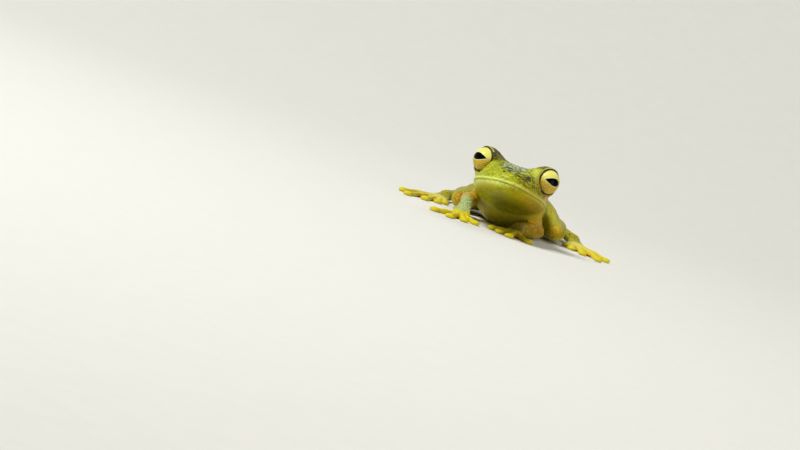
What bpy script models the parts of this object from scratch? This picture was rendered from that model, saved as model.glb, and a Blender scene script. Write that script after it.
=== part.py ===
"""A small green tree frog with large pale eyes and red webbing, life size, as a still museum model.

The frog lies low on a flat floor with its chest just raised, hands forward and hind legs folded.
It faces -Y, its left side is +X, and the floor is Z = 0. The origin is under the middle of its belly.
Lengths are in metres. Each limb is modelled whole from a few joint points and parted with thin cuts.
"""

import math

import bmesh
import bpy
import numpy as np
from mathutils import Matrix, Vector

MM = 0.001
GAP = 0.3 * MM  # left between neighbours that touch
FLOOR = 0.0

# The head, in its own frame: origin midway between the eyes, snout towards -Y, crown up.
EYE_HEIGHT = 11.3 * MM
HEAD_YAW = math.radians(-2.0)
HEAD_PITCH = math.radians(8.4)
EYE_RADIUS = 2.3 * MM
EYE_SPREAD = 5.72 * MM
EYE_AXIS_SIDE = math.radians(40.0)
EYE_AXIS_UP = math.radians(4.0)
LID_RADIUS = 2.84 * MM
LID_SETBACK = 0.48 * MM
BROW_CENTRE = (4.5 * MM, 0.7 * MM, 0.3 * MM)
BROW_REACH = (2.0 * MM, 3.0 * MM, 2.4 * MM)
BROW_RISE = 1.5 * MM
SNOUT_TIP = -8.35 * MM
JAW_WIDEST = 3.5 * MM
JAW_HALF_WIDTH = 6.55 * MM
HEAD_END = 9.5 * MM
NECK_PIVOT = Vector((0.0, 6.5, -3.2)) * MM
NOSTRIL_PLACE = (1.4 * MM, -7.2 * MM)  # across and along
NOSTRIL_RADIUS = 0.3 * MM
EARDRUM_PLACE = (4.9 * MM, -1.9 * MM)  # along and up
EARDRUM_RADIUS = 1.1 * MM
EARDRUM_THICKNESS = 0.7 * MM
EARDRUM_RIM = 0.45 * MM

# The trunk starts at the neck's pivot.
NECK_Y = -13.0 * MM

# Joint points of the limbs, from the trunk outwards.
LEFT_ARM = ((4.2, -10.6, 5.4), (6.6, -7.7, 1.45), (3.3, -14.4, 1.7))
RIGHT_ARM = ((-4.2, -10.6, 5.4), (-7.0, -8.2, 3.0), (-6.9, -16.0, 2.9))
LEFT_LEG = ((3.0, 9.8, 4.3), (9.6, -3.4, 2.15), (6.9, 15.2, 2.3), (12.9, 8.4, 1.05))
RIGHT_LEG = ((-3.0, 9.8, 4.3), (-8.8, -4.2, 2.15), (-7.0, 15.4, 2.3), (-12.3, 8.2, 1.05))
PALM_LENGTH = 3.4 * MM
PALM_HALF_WIDTH = 1.55 * MM
PALM_HEIGHT = 1.25 * MM
SOLE_LENGTH = 4.6 * MM
SOLE_HALF_WIDTH = 1.7 * MM

# A digit leaves the palm at an angle from the hand's own line, positive towards the body, and curves by
# its bend. Each is (angle, bend, length from the root in mm), the one nearest the body first.
HAND_TURNS = {"left": math.radians(10.0), "right": math.radians(-3.0)}
FINGERS = {
    "left": ((52.0, -12.0, 5.6), (18.0, -6.0, 6.5), (-8.0, 4.0, 8.2), (-34.0, -12.0, 7.2)),
    "right": ((46.0, -8.0, 5.6), (16.0, -4.0, 6.5), (-10.0, 4.0, 8.2), (-36.0, -12.0, 7.4)),
}
FOOT_TURN = math.radians(-13.0)
TOES = ((32.0, -14.0, 7.2), (18.0, -8.0, 9.8), (5.0, -3.0, 13.0), (-8.0, 3.0, 16.0), (-22.0, 4.0, 12.6))
DIGIT_ROOT = 0.5  # share of the palm's length at which the digits start
DIGIT_RADIUS = 0.52 * MM
FINGER_PAD = 0.86 * MM
TOE_PAD = 0.8 * MM
PAD_HALF_HEIGHT = 0.42 * MM
WEB_THICKNESS = 0.5 * MM
WEB_BASE = 0.12 * MM  # clearance between the web and the floor
HAND_WEB_REACH = 0.5
HAND_WEB_SAG = 0.3
FOOT_WEB_REACH = 0.8
FOOT_WEB_SAG = 0.2

COLOURS = {
    "head": (0.30, 0.36, 0.05),
    "throat": (0.33, 0.30, 0.05),
    "back": (0.27, 0.36, 0.05),
    "limb": (0.36, 0.36, 0.06),
    "digit": (0.62, 0.52, 0.06),
    "web": (0.75, 0.22, 0.06),
    "eye": (0.75, 0.62, 0.20),
    "eardrum": (0.40, 0.34, 0.10),
}


def material(name, roughness=0.4):
    """The Principled material of this name, made once."""
    found = bpy.data.materials.get(name)
    if found:
        return found
    made = bpy.data.materials.new(name)
    made.use_nodes = True
    shader = made.node_tree.nodes["Principled BSDF"]
    shader.inputs["Base Color"].default_value = (*COLOURS[name], 1.0)
    shader.inputs["Roughness"].default_value = roughness
    shader.inputs["Metallic"].default_value = 0.0
    return made


def add_object(name, mesh, colour):
    mesh.shade_smooth()
    obj = bpy.data.objects.new(name, mesh)
    bpy.context.scene.collection.objects.link(obj)
    obj.data.materials.clear()
    obj.data.materials.append(material(colour))
    return obj


def through(rows, at):
    """Smooth values of a table at these places: rows are (place, value, ...), joined by cubic curves."""
    table = np.array(rows, float)
    places = table[:, 0]
    at = np.clip(np.asarray(at, float), places[0], places[-1])
    columns = []
    for values in table[:, 1:].T:
        slopes = np.gradient(values, places)
        span = np.clip(np.searchsorted(places, at, side="right") - 1, 0, len(places) - 2)
        width = places[span + 1] - places[span]
        t = (at - places[span]) / width
        columns.append(
            (2 * t**3 - 3 * t**2 + 1) * values[span]
            + (t**3 - 2 * t**2 + t) * width * slopes[span]
            + (3 * t**2 - 2 * t**3) * values[span + 1]
            + (t**3 - t**2) * width * slopes[span + 1]
        )
    return columns


def loft(name, rings, colour):
    """A closed body through rings of points, with flat ends."""
    rings = np.array(rings, float)
    count, sides = rings.shape[:2]
    points = rings.reshape(-1, 3)
    faces = [
        (i * sides + j, i * sides + (j + 1) % sides, (i + 1) * sides + (j + 1) % sides, (i + 1) * sides + j)
        for i in range(count - 1)
        for j in range(sides)
    ]
    faces.append(tuple(range(sides)))
    faces.append(tuple(range((count - 1) * sides, count * sides)))
    mesh = bpy.data.meshes.new(name)
    mesh.from_pydata(points.tolist(), [], faces)
    shape = bmesh.new()
    shape.from_mesh(mesh)
    bmesh.ops.recalc_face_normals(shape, faces=shape.faces)
    bmesh.ops.triangulate(shape, faces=shape.faces)
    shape.to_mesh(mesh)
    shape.free()
    return add_object(name, mesh, colour)


def baked(obj):
    """Applies the object's modifiers and its placement to its own mesh."""
    bpy.context.view_layer.update()
    graph = bpy.context.evaluated_depsgraph_get()
    mesh = bpy.data.meshes.new_from_object(obj.evaluated_get(graph))
    mesh.transform(obj.matrix_world)
    obj.modifiers.clear()
    obj.matrix_world = Matrix.Identity(4)
    obj.data = mesh
    return obj


def keep_largest(obj):
    """Drops every closed surface of the mesh but the one that holds the most."""
    shape = bmesh.new()
    shape.from_mesh(obj.data)
    left = set(shape.faces)
    parts = []
    while left:
        todo = [left.pop()]
        part = list(todo)
        while todo:
            for edge in todo.pop().edges:
                for face in edge.link_faces:
                    if face in left:
                        left.remove(face)
                        todo.append(face)
                        part.append(face)
        parts.append(part)
    parts.sort(key=lambda part: -abs(volume_of(part)))
    dropped = [face for part in parts[1:] for face in part]
    bmesh.ops.delete(shape, geom=dropped, context="FACES")
    shape.to_mesh(obj.data)
    shape.free()
    return obj


def volume_of(faces):
    """Volume within these triangles, as the sum of the wedges that they span with the origin."""
    total = 0.0
    for face in faces:
        corners = [vertex.co for vertex in face.verts]
        for second, third in zip(corners[1:], corners[2:]):
            total += corners[0].dot(second.cross(third)) / 6
    return total


def discard(obj):
    bpy.data.objects.remove(obj, do_unlink=True)


def carve(obj, cutter, operation="DIFFERENCE"):
    """Cuts obj by cutter, or keeps what they share, and keeps the largest body that is left."""
    modifier = obj.modifiers.new("carve", "BOOLEAN")
    modifier.object = cutter
    modifier.operation = operation
    modifier.solver = "EXACT"
    baked(obj)
    discard(cutter)
    return keep_largest(obj)


def fuse(obj, pieces):
    """Joins the pieces to obj as one closed body by a single union, and removes them."""
    group = bpy.data.collections.new(obj.name + "_pieces")
    bpy.context.scene.collection.children.link(group)
    for piece in pieces:
        group.objects.link(piece)
    modifier = obj.modifiers.new("fuse", "BOOLEAN")
    modifier.operand_type = "COLLECTION"
    modifier.collection = group
    modifier.operation = "UNION"
    modifier.solver = "EXACT"
    baked(obj)
    for piece in pieces:
        discard(piece)
    bpy.data.collections.remove(group)
    return keep_largest(obj)


def trim(obj, point, normal):
    """Keeps what lies on the normal's side of a plane through point, and closes the cut with a flat face."""
    shape = bmesh.new()
    shape.from_mesh(obj.data)
    cut = bmesh.ops.bisect_plane(
        shape,
        geom=shape.verts[:] + shape.edges[:] + shape.faces[:],
        plane_co=point,
        plane_no=normal,
        clear_inner=True,
    )
    rim = [part for part in cut["geom_cut"] if isinstance(part, bmesh.types.BMEdge)]
    bmesh.ops.holes_fill(shape, edges=rim, sides=0)
    bmesh.ops.triangulate(shape, faces=shape.faces)
    bmesh.ops.recalc_face_normals(shape, faces=shape.faces)
    shape.to_mesh(obj.data)
    shape.free()
    return obj


def lay_flat(obj):
    """Cuts off what would reach below the floor, which leaves the flats that the frog rests on."""
    return trim(obj, Vector((0, 0, FLOOR)), Vector((0, 0, 1)))


def duplicate(obj, name):
    copy = bpy.data.objects.new(name, obj.data.copy())
    bpy.context.scene.collection.objects.link(copy)
    return copy


def ball(name, centre, radius, colour, segments=20, rings=12):
    mesh = bpy.data.meshes.new(name)
    shape = bmesh.new()
    bmesh.ops.create_uvsphere(shape, u_segments=segments, v_segments=rings, radius=radius)
    bmesh.ops.triangulate(shape, faces=shape.faces)
    shape.to_mesh(mesh)
    shape.free()
    mesh.transform(Matrix.Translation(centre))
    return add_object(name, mesh, colour)


def disc(name, centre, axis, radius, thickness, colour, sides=16):
    """A flat round plate, its axis along axis."""
    mesh = bpy.data.meshes.new(name)
    shape = bmesh.new()
    bmesh.ops.create_cone(
        shape, cap_ends=True, segments=sides, radius1=radius, radius2=radius, depth=thickness
    )
    bmesh.ops.triangulate(shape, faces=shape.faces)
    shape.to_mesh(mesh)
    shape.free()
    turn = Vector(axis).to_track_quat("Z", "Y").to_matrix().to_4x4()
    mesh.transform(Matrix.Translation(centre) @ turn)
    return add_object(name, mesh, colour)


# The head


def head_to_world():
    """Pitches the head up and turns it a little to its right, about the neck, with the eyes at height."""
    turn = Matrix.Rotation(HEAD_YAW, 4, "Z") @ Matrix.Rotation(-HEAD_PITCH, 4, "X")
    pivot = turn @ NECK_PIVOT
    place = Vector((-pivot.x, NECK_Y - pivot.y, EYE_HEIGHT))
    return Matrix.Translation(place) @ turn


def neck_point():
    return head_to_world() @ NECK_PIVOT


HEAD_PROFILE = (  # Y, lip height, crown height, throat height, upper fullness, all in the head's frame
    (-8.35, -3.2, -2.5, -3.95, 2.2),
    (-8.1, -3.35, -1.95, -4.3, 2.3),
    (-7.4, -3.55, -1.35, -4.65, 2.4),
    (-6.0, -3.65, -0.85, -5.05, 2.45),
    (-4.0, -3.75, -0.25, -5.4, 2.4),
    (-1.5, -3.85, 0.35, -5.75, 2.3),
    (1.5, -3.95, 0.75, -6.0, 2.2),
    (4.5, -4.0, 0.85, -6.2, 2.2),
    (9.5, -4.0, 0.15, -6.5, 2.2),
)
LOWER_FULLNESS = 2.0
PLAN_TIP_POWER = 2.15
PLAN_SIDE_POWER = 2.15
NECK_HALF_WIDTH = 5.9 * MM
LIP_ROLL = 0.14 * MM


def half_width(y):
    """Half the head's width at y: a blunt oval from the snout to the jaw's corners, then in to the neck."""
    ahead = np.clip((JAW_WIDEST - y) / (JAW_WIDEST - SNOUT_TIP), 0, 0.992)
    oval = (1 - ahead**PLAN_TIP_POWER) ** (1 / PLAN_SIDE_POWER)
    behind = np.clip((y - JAW_WIDEST) / (HEAD_END - JAW_WIDEST), 0, 1)
    inward = behind * behind * (3 - 2 * behind)
    return JAW_HALF_WIDTH * oval + (NECK_HALF_WIDTH - JAW_HALF_WIDTH) * inward


def flank(y, z):
    """Half the head's width at a place above the lips."""
    lip, crown, _, fullness = (float(value) * MM for value in through(HEAD_PROFILE, y / MM))
    power = fullness / MM
    return float(half_width(y)) * (1 - ((z - lip) / (crown - lip)) ** power) ** (1 / power)


def roof(x, y):
    """Height of the head's upper side at a place."""
    lip, crown, _, fullness = (float(value) * MM for value in through(HEAD_PROFILE, y / MM))
    power = fullness / MM
    return lip + (crown - lip) * (1 - (x / float(half_width(y))) ** power) ** (1 / power)


def oval_ring(angles, width, rise, drop, upper, lower):
    """A rounded outline of one width with its own height above and below, as (across, up)."""
    across, up = np.cos(angles), np.sin(angles)
    power = np.where(up > 0, 2 / upper, 2 / lower)
    height = np.where(up > 0, rise, drop)
    return np.sign(across) * np.abs(across) ** power * width, np.sign(up) * np.abs(up) ** power * height


def swollen(points):
    """Raises the skull's upper side to a soft mound below and behind each eye."""
    for side in (-1, 1):
        away = (points - np.array(BROW_CENTRE) * (side, 1, 1)) / np.array(BROW_REACH)
        share = np.exp(-0.5 * np.sum(away**2, axis=1))
        points = points + np.outer(share, (side * 0.2 * BROW_RISE, 0.0, BROW_RISE))
    return points


def head_body():
    """The whole head and throat from snout to neck, in the head's frame, with a low roll along the lips."""
    stations = np.array(
        (-8.35, -8.22, -7.95, -7.45, -6.7, -5.6, -4.4, -3.2, -2.0, -0.8, 0.4, 1.6, 2.8, 4.0, 5.4, 7.3, 9.5)
    )
    quarter = np.radians((0, 6, 14, 25, 37, 49, 61, 75))
    right = np.concatenate([quarter, [math.pi / 2], math.pi - quarter[:0:-1]])
    angles = np.concatenate([right, right + math.pi])
    lip, crown, throat, fullness = through(HEAD_PROFILE, stations)
    roll = LIP_ROLL * np.exp(-((np.sin(angles) / 0.13) ** 2)) * np.sign(np.cos(angles))
    rings = []
    for i, y in enumerate(stations):
        across, up = oval_ring(
            angles, half_width(y * MM), crown[i] - lip[i], lip[i] - throat[i], fullness[i], LOWER_FULLNESS
        )
        ring = np.stack([across + roll, np.full_like(across, y * MM), (up + lip[i]) * MM], axis=1)
        rings.append(swollen(ring))
    return loft("head", rings, "head")


def mouth_block(above):
    """A block with the mouth line as its edge, from the chin to behind the jaw's corner and down."""
    side = 1 if above else -1
    line = [(-12.0, -3.0), (-8.3, -3.35), (-6.0, -3.65), (-3.0, -3.8), (0.5, -3.95)]
    line += [(3.8, -4.15), (5.4, -5.0), (6.0, -10.0)]
    far = [(14.0, -10.0), (14.0, 8.0), (-12.0, 8.0)] if above else [(-12.0, -10.0)]
    shift = side * GAP / MM / 2
    outline = [(y + shift * (0.7 if i > 4 else 0.0), z + shift) for i, (y, z) in enumerate(line)] + far
    rings = [[(x * MM, y * MM, z * MM) for y, z in outline] for x in (-12.0, 12.0)]
    return loft("mouth_block", rings, "head")


def optic_axis(side):
    return Vector(
        (
            side * math.sin(EYE_AXIS_SIDE) * math.cos(EYE_AXIS_UP),
            -math.cos(EYE_AXIS_SIDE) * math.cos(EYE_AXIS_UP),
            math.sin(EYE_AXIS_UP),
        )
    )


def eardrum_place(side):
    """The middle of an eardrum on the head's flank, and the way it faces."""
    along, up = EARDRUM_PLACE
    outward = Vector((side, 0.1, 0.28)).normalized()
    return Vector((side * flank(along, up), along, up)), outward


def build_head():
    """Skull and upper jaw, lower jaw with the throat, eyeballs and eardrums."""
    head = head_body()
    swellings = []
    for side in (-1, 1):
        centre = Vector((side * EYE_SPREAD, 0, 0))
        swellings.append(ball("lid", centre - optic_axis(side) * LID_SETBACK, LID_RADIUS, "head"))
        ear, outward = eardrum_place(side)
        swellings.append(disc("ear_rim", ear, outward, EARDRUM_RADIUS + EARDRUM_RIM, 0.4 * MM, "head"))
    fuse(head, swellings)
    jaw = duplicate(head, "lower_jaw")
    jaw.data.materials[0] = material("throat")
    carve(head, mouth_block(True), "INTERSECT")
    carve(jaw, mouth_block(False), "INTERSECT")
    for side, word in ((-1, "right"), (1, "left")):
        centre = Vector((side * EYE_SPREAD, 0, 0))
        carve(head, ball("socket", centre, EYE_RADIUS + GAP, "head"))
        across, along = NOSTRIL_PLACE
        nostril = Vector((side * across, along, roof(across, along)))
        carve(head, ball("nostril", nostril, NOSTRIL_RADIUS, "head", 8, 5))
        ear, outward = eardrum_place(side)
        recess = disc("recess", ear, outward, EARDRUM_RADIUS + GAP, 2 * EARDRUM_THICKNESS, "head")
        carve(head, recess)
        middle = ear - outward * (EARDRUM_THICKNESS / 2 - 0.1 * MM)
        thickness = EARDRUM_THICKNESS - GAP
        drum = disc("eardrum_" + word, middle, outward, EARDRUM_RADIUS, thickness, "eardrum")
        eye = ball("eye_" + word, centre, EYE_RADIUS, "eye")
        for piece in (drum, eye):
            piece.data.transform(head_to_world())
    for piece in (head, jaw):
        piece.data.transform(head_to_world())
    neck_normal = Vector((math.sin(HEAD_YAW) / 2, -1, math.sin(HEAD_PITCH) / 2)).normalized()
    for piece in (head, jaw):
        trim(piece, neck_point() + neck_normal * GAP / 2, neck_normal)
    return neck_normal


# The trunk

TRUNK_PROFILE = (  # distance behind the neck, middle's height, half width, rise, drop
    (-3.0, 7.0, 5.5, 3.9, 2.9),
    (0.0, 6.8, 5.85, 3.9, 3.4),
    (4.0, 6.3, 6.25, 3.9, 4.8),
    (9.0, 5.5, 6.4, 4.0, 5.75),
    (14.0, 5.1, 5.85, 4.15, 5.4),
    (17.5, 4.9, 5.0, 4.1, 4.9),
    (21.0, 4.6, 4.2, 3.5, 4.0),
    (24.5, 4.2, 3.2, 2.5, 3.0),
    (26.6, 3.8, 2.0, 1.5, 1.8),
    (27.4, 3.6, 0.9, 0.7, 0.8),
)


def trunk(name, grow=0.0, stations=None, sides=32):
    """Chest, belly and rump from the neck to the vent. grow makes it that much thicker, for cutting."""
    if stations is None:
        stations = np.concatenate([np.linspace(-3.0, 22.0, 15), (23.6, 25.0, 26.1, 26.9, 27.4)])
    angles = np.linspace(0, 2 * math.pi, sides, endpoint=False)
    middle, width, rise, drop = through(TRUNK_PROFILE, stations)
    rings = []
    for i, s in enumerate(stations):
        across, up = oval_ring(
            angles, width[i] * MM + grow, rise[i] * MM + grow, drop[i] * MM + grow, 2.1, 2.2
        )
        y = NECK_Y + s * MM + (grow if i == len(stations) - 1 else 0.0)
        rings.append(np.stack([across, np.full_like(across, y), up + middle[i] * MM], axis=1))
    return loft(name, rings, "back")


def build_trunk(neck_normal):
    torso = lay_flat(trunk("torso"))
    trim(torso, neck_point() - neck_normal * GAP / 2, -neck_normal)
    return torso


# Limbs


def limb(name, line, radii, colour, sides=14):
    """A round limb along a line of points, with these radii and rounded ends."""
    line = np.array(line, float)
    radii = np.array(radii, float)
    along = np.gradient(line, axis=0)
    along /= np.linalg.norm(along, axis=1)[:, None]
    side = np.cross(along, (0.0, 0.0, 1.0))
    side /= np.linalg.norm(side, axis=1)[:, None]
    over = np.cross(side, along)
    angles = np.linspace(0, 2 * math.pi, sides, endpoint=False)
    rings = []
    rounds = (1.35, 1.1, 0.65)
    for angle in rounds:
        rings.append((0, radii[0] * math.cos(angle), -radii[0] * math.sin(angle)))
    rings += [(i, radius, 0.0) for i, radius in enumerate(radii)]
    for angle in reversed(rounds):
        rings.append((-1, radii[-1] * math.cos(angle), radii[-1] * math.sin(angle)))
    made = []
    for i, radius, shift in rings:
        centre = line[i] + along[i] * shift
        made.append(
            centre
            + np.outer(np.cos(angles) * radius, side[i])
            + np.outer(np.sin(angles) * radius, over[i])
        )
    return loft(name, made, colour)


def segment(name, start, end, radii, colour, bow=(0, 0, 0), rings=7):
    """A stretch of limb between two joints: radii at equal steps along it, bowed sideways by bow."""
    start, end = np.array(start) * MM, np.array(end) * MM
    steps = np.linspace(0, 1, rings)
    bowed = np.outer(4 * steps * (1 - steps), np.array(bow) * MM)
    line = start + np.outer(steps, end - start) + bowed
    table = [(i, radius) for i, radius in enumerate(radii)]
    (radius,) = through(table, np.linspace(0, len(radii) - 1, rings))
    return limb(name, line, radius * MM, colour)


def mitre(first, joint, last):
    """The plane that parts a bent limb at a joint: a point on it, and its normal towards the far side."""
    first, joint, last = Vector(first), Vector(joint), Vector(last)
    normal = (joint - first).normalized() + (last - joint).normalized()
    return joint * MM, normal.normalized()


def trim_joint(near, far, point, normal):
    """Trims two stretches of limb that share a joint, so that their flat ends face each other."""
    trim(near, point - normal * GAP / 2, -normal)
    trim(far, point + normal * GAP / 2, normal)


def heading(angle, side):
    """The level direction at an angle from -Y, positive towards the body's middle on that side."""
    return np.array((-side * math.sin(angle), -math.cos(angle), 0.0))


def digit_line(root, side, turn, angle, bend, length, shares):
    """Points along a digit that leaves root at an angle and curves evenly by bend on its way."""
    fine = np.linspace(0, 1, 41)
    angles = turn + math.radians(angle) + math.radians(bend) * fine
    steps = np.stack([-side * np.sin(angles), -np.cos(angles)], axis=1) * length / 40
    places = np.vstack([(0.0, 0.0), np.cumsum((steps[1:] + steps[:-1]) / 2, axis=0)])
    return np.stack([root[axis] + np.interp(shares, fine, places[:, axis]) for axis in (0, 1)], axis=1)


DIGIT_SHAPE = (  # share of the length, half width, half height, over the plain radius
    (0.0, 1.0, 0.9),
    (0.22, 1.12, 1.0),
    (0.45, 0.92, 0.95),
    (0.6, 1.02, 0.98),
    (0.8, 0.8, 0.85),
)
PAD_TURNS = (-0.8, -0.25, 0.3, 0.85, 1.35)
ROOT_RISE_END = 0.42  # share of a digit's length along which it slopes down from a raised palm


def digit(name, side, root, turn, angle, bend, length, pad, lift):
    """A finger or toe along the floor with its round, flat pad, its root raised by lift into the palm."""
    middle = 1 - pad / length
    rows = [(share, wide * DIGIT_RADIUS, high * DIGIT_RADIUS) for share, wide, high in DIGIT_SHAPE]
    rows = [row for row in rows if row[0] < middle - pad / length]
    for pad_turn in PAD_TURNS:
        share = middle + pad / length * math.sin(pad_turn)
        rows.append((share, pad * math.cos(pad_turn), PAD_HALF_HEIGHT * math.cos(pad_turn) ** 0.5))
    shares, wide, high = (np.array(column) for column in zip(*rows))
    line = digit_line(root, side, turn, angle, bend, length, shares)
    along = np.gradient(line, axis=0)
    along /= np.linalg.norm(along, axis=1)[:, None]
    angles = np.linspace(0, 2 * math.pi, 8, endpoint=False)
    rings = []
    for i, share in enumerate(shares):
        flat = np.outer(np.cos(angles) * wide[i], (-along[i][1], along[i][0]))
        raised = lift * max(0.0, 1 - share / ROOT_RISE_END) ** 2
        height = raised + high[i] * (0.84 + np.sin(angles))
        rings.append(np.column_stack([line[i][0] + flat[:, 0], line[i][1] + flat[:, 1], height]))
    return loft(name, rings, "digit")


def web_plate(name, side, root, turn, digits, reach, sag):
    """A level sheet between the digits: out along each to its reach, and hanging in between them by sag."""
    outline = []
    edges = []
    for angle, bend, length in digits:
        shares = np.array((0.3, 0.6, 1.0)) * reach
        edges.append(digit_line(root, side, turn, angle, bend, length * MM, shares))
    outline += [tuple(point) for point in edges[0]]
    for edge, following in zip(edges, edges[1:]):
        start, end = edge[-1], following[-1]
        for share in (0.2, 0.4, 0.6, 0.8):
            chord = start + (end - start) * share
            outline.append(tuple(chord + (root[:2] - chord) * sag * 4 * share * (1 - share)))
        outline.append(tuple(end))
    outline += [tuple(point) for point in edges[-1][-2::-1]]
    rings = [[(x, y, z) for x, y in outline] for z in (WEB_BASE, WEB_BASE + WEB_THICKNESS)]
    return loft(name, rings, "web")


PALM_SHAPE = (  # share of the length, width and height over the palm's own
    (-0.12, 0.6, 1.0),
    (0.1, 0.66, 1.0),
    (0.35, 0.84, 0.9),
    (0.6, 1.0, 0.8),
    (0.85, 0.92, 0.7),
    (1.0, 0.6, 0.55),
)


def palm_lift(wrist, height):
    """How far the wrist stands above its lowest place, with the palm on the floor."""
    return wrist[2] - height * 0.44


def palm_slope(share):
    """The share of the wrist's lift that is left at a share of the palm's length."""
    return (1 - min(max(share, 0.0), 1.0)) ** 1.4


def palm(name, side, wrist, turn, body_size):
    """A palm or sole that slopes down from the wrist and widens to where the digits part."""
    length, half_wide, height = body_size
    main = heading(turn, side)
    lift = palm_lift(wrist, height)
    across = np.array((-main[1], main[0], 0.0))
    angles = np.linspace(0, 2 * math.pi, 16, endpoint=False)
    rings = []
    for share, wide, high in PALM_SHAPE:
        centre = np.array(wrist, float) + main * share * length
        centre[2] = high * height * 0.44 + lift * palm_slope(share)
        rings.append(
            centre
            + np.outer(np.cos(angles) * wide * half_wide, across)
            + np.outer(np.sin(angles) * high * height / 2, (0, 0, 1.0))
        )
    return loft(name, rings, "limb")


def build_extremity(side, name, wrist, turn, digits, body_size, pad, reach, sag):
    """A hand or foot as one node: palm, web and digits, flat on the floor."""
    root = np.array(wrist, float) + heading(turn, side) * body_size[0] * DIGIT_ROOT
    pieces = [web_plate("web", side, root, turn, digits, reach, sag)]
    lift = palm_lift(wrist, body_size[2]) * palm_slope(DIGIT_ROOT)
    for angle, bend, length in digits:
        pieces.append(digit("digit", side, root, turn, angle, bend, length * MM, pad, lift))
    body = palm(name, side, wrist, turn, body_size)
    fuse(body, pieces)
    return lay_flat(body)


def build_arm(side, word, joints):
    shoulder, elbow, wrist = joints
    upper = segment("upper_arm_" + word, shoulder, elbow, (1.55, 1.5, 1.3, 1.15, 1.05), "limb")
    fore = segment("forearm_" + word, elbow, wrist, (1.05, 1.45, 1.35, 1.1, 0.88), "limb")
    trim_joint(upper, fore, *mitre(shoulder, elbow, wrist))
    carve(upper, trunk("trunk_cutter", grow=GAP))
    turn = HAND_TURNS[word]
    palm_size = (PALM_LENGTH, PALM_HALF_WIDTH, PALM_HEIGHT)
    end = Vector(wrist) * MM
    hand = build_extremity(
        side, "hand_" + word, end, turn, FINGERS[word], palm_size, FINGER_PAD, HAND_WEB_REACH, HAND_WEB_SAG
    )
    normal = ((end - Vector(elbow) * MM).normalized() + Vector(heading(turn, side))).normalized()
    trim_joint(fore, hand, end, normal)


def build_leg(side, word, joints):
    hip, knee, heel, sole_start = joints
    thigh = segment("thigh_" + word, hip, knee, (2.6, 3.0, 2.6, 2.0, 1.55), "limb", (side * 0.4, 0.3, 0))
    shank = segment("shank_" + word, knee, heel, (1.4, 1.95, 1.8, 1.4, 1.1), "limb", (side * 0.5, 0, 0.1))
    tarsus = segment("tarsus_" + word, heel, sole_start, (1.1, 1.0, 0.95, 0.98, 1.0), "limb")
    trim_joint(thigh, shank, *mitre(hip, knee, heel))
    trim_joint(shank, tarsus, *mitre(knee, heel, sole_start))
    carve(thigh, trunk("trunk_cutter", grow=GAP))
    sole_size = (SOLE_LENGTH, SOLE_HALF_WIDTH, PALM_HEIGHT)
    end = Vector(sole_start) * MM
    foot = build_extremity(
        side, "foot_" + word, end, FOOT_TURN, TOES, sole_size, TOE_PAD, FOOT_WEB_REACH, FOOT_WEB_SAG
    )
    normal = ((end - Vector(heel) * MM).normalized() + Vector(heading(FOOT_TURN, side))).normalized()
    trim_joint(tarsus, foot, end, normal)
    for piece in (shank, tarsus, thigh):
        lay_flat(piece)


def clear_scene():
    for obj in list(bpy.data.objects):
        bpy.data.objects.remove(obj, do_unlink=True)


def main():
    clear_scene()
    neck_normal = build_head()
    build_trunk(neck_normal)
    build_arm(1, "left", LEFT_ARM)
    build_arm(-1, "right", RIGHT_ARM)
    build_leg(1, "left", LEFT_LEG)
    build_leg(-1, "right", RIGHT_LEG)
    for obj in bpy.data.objects:
        obj.data.shade_smooth()
        obj.data.set_sharp_from_angle(angle=math.radians(50))


main()
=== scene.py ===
"""Dresses the life-size tree frog: one moist skin over its flesh, wet eyes, lid margins and thin webs."""

import math

import bpy
import numpy as np
import openvdb
from mathutils import Matrix, Vector


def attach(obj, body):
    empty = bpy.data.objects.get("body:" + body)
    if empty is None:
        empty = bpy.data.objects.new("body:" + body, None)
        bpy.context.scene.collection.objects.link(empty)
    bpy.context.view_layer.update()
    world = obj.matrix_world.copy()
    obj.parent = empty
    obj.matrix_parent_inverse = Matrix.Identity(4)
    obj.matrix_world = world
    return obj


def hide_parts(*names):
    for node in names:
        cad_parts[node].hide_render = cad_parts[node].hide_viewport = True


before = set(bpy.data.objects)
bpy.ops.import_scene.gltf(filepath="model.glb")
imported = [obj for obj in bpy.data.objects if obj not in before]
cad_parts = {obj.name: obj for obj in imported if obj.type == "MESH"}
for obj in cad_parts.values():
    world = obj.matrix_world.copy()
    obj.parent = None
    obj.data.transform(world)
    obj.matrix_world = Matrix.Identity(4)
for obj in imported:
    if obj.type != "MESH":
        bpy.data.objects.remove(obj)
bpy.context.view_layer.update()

bl_info = {
    "name": "Tree Frog Dressing",
    "version": (1, 0, 0),
    "blender": (4, 5, 0),
    "location": "3D View > Sidebar > Tree Frog",
    "description": "Skin, eyes, lid margins, webs and studio of a life-size tree frog model",
    "category": "Object",
}

MM = 0.001

# Shapes are worked out in millimetres, in the frame of the solids, and written to the meshes in metres.
EYE_HEIGHT = 11.3
HEAD_YAW = math.radians(-2.0)
HEAD_PITCH = math.radians(8.4)
EYE_SPREAD = 5.72
NECK_PIVOT = Vector((0.0, 6.5, -3.2))
NECK_Y = -13.0
SNOUT_TIP = -8.35
JAW_WIDEST = 3.5
JAW_HALF_WIDTH = 6.55
NECK_HALF_WIDTH = 5.9
HEAD_END = 9.5
NOSTRIL_PLACE = (1.4, -7.2)
EARDRUM_PLACE = (4.9, -1.9)
EARDRUM_RADIUS = 1.1

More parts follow.
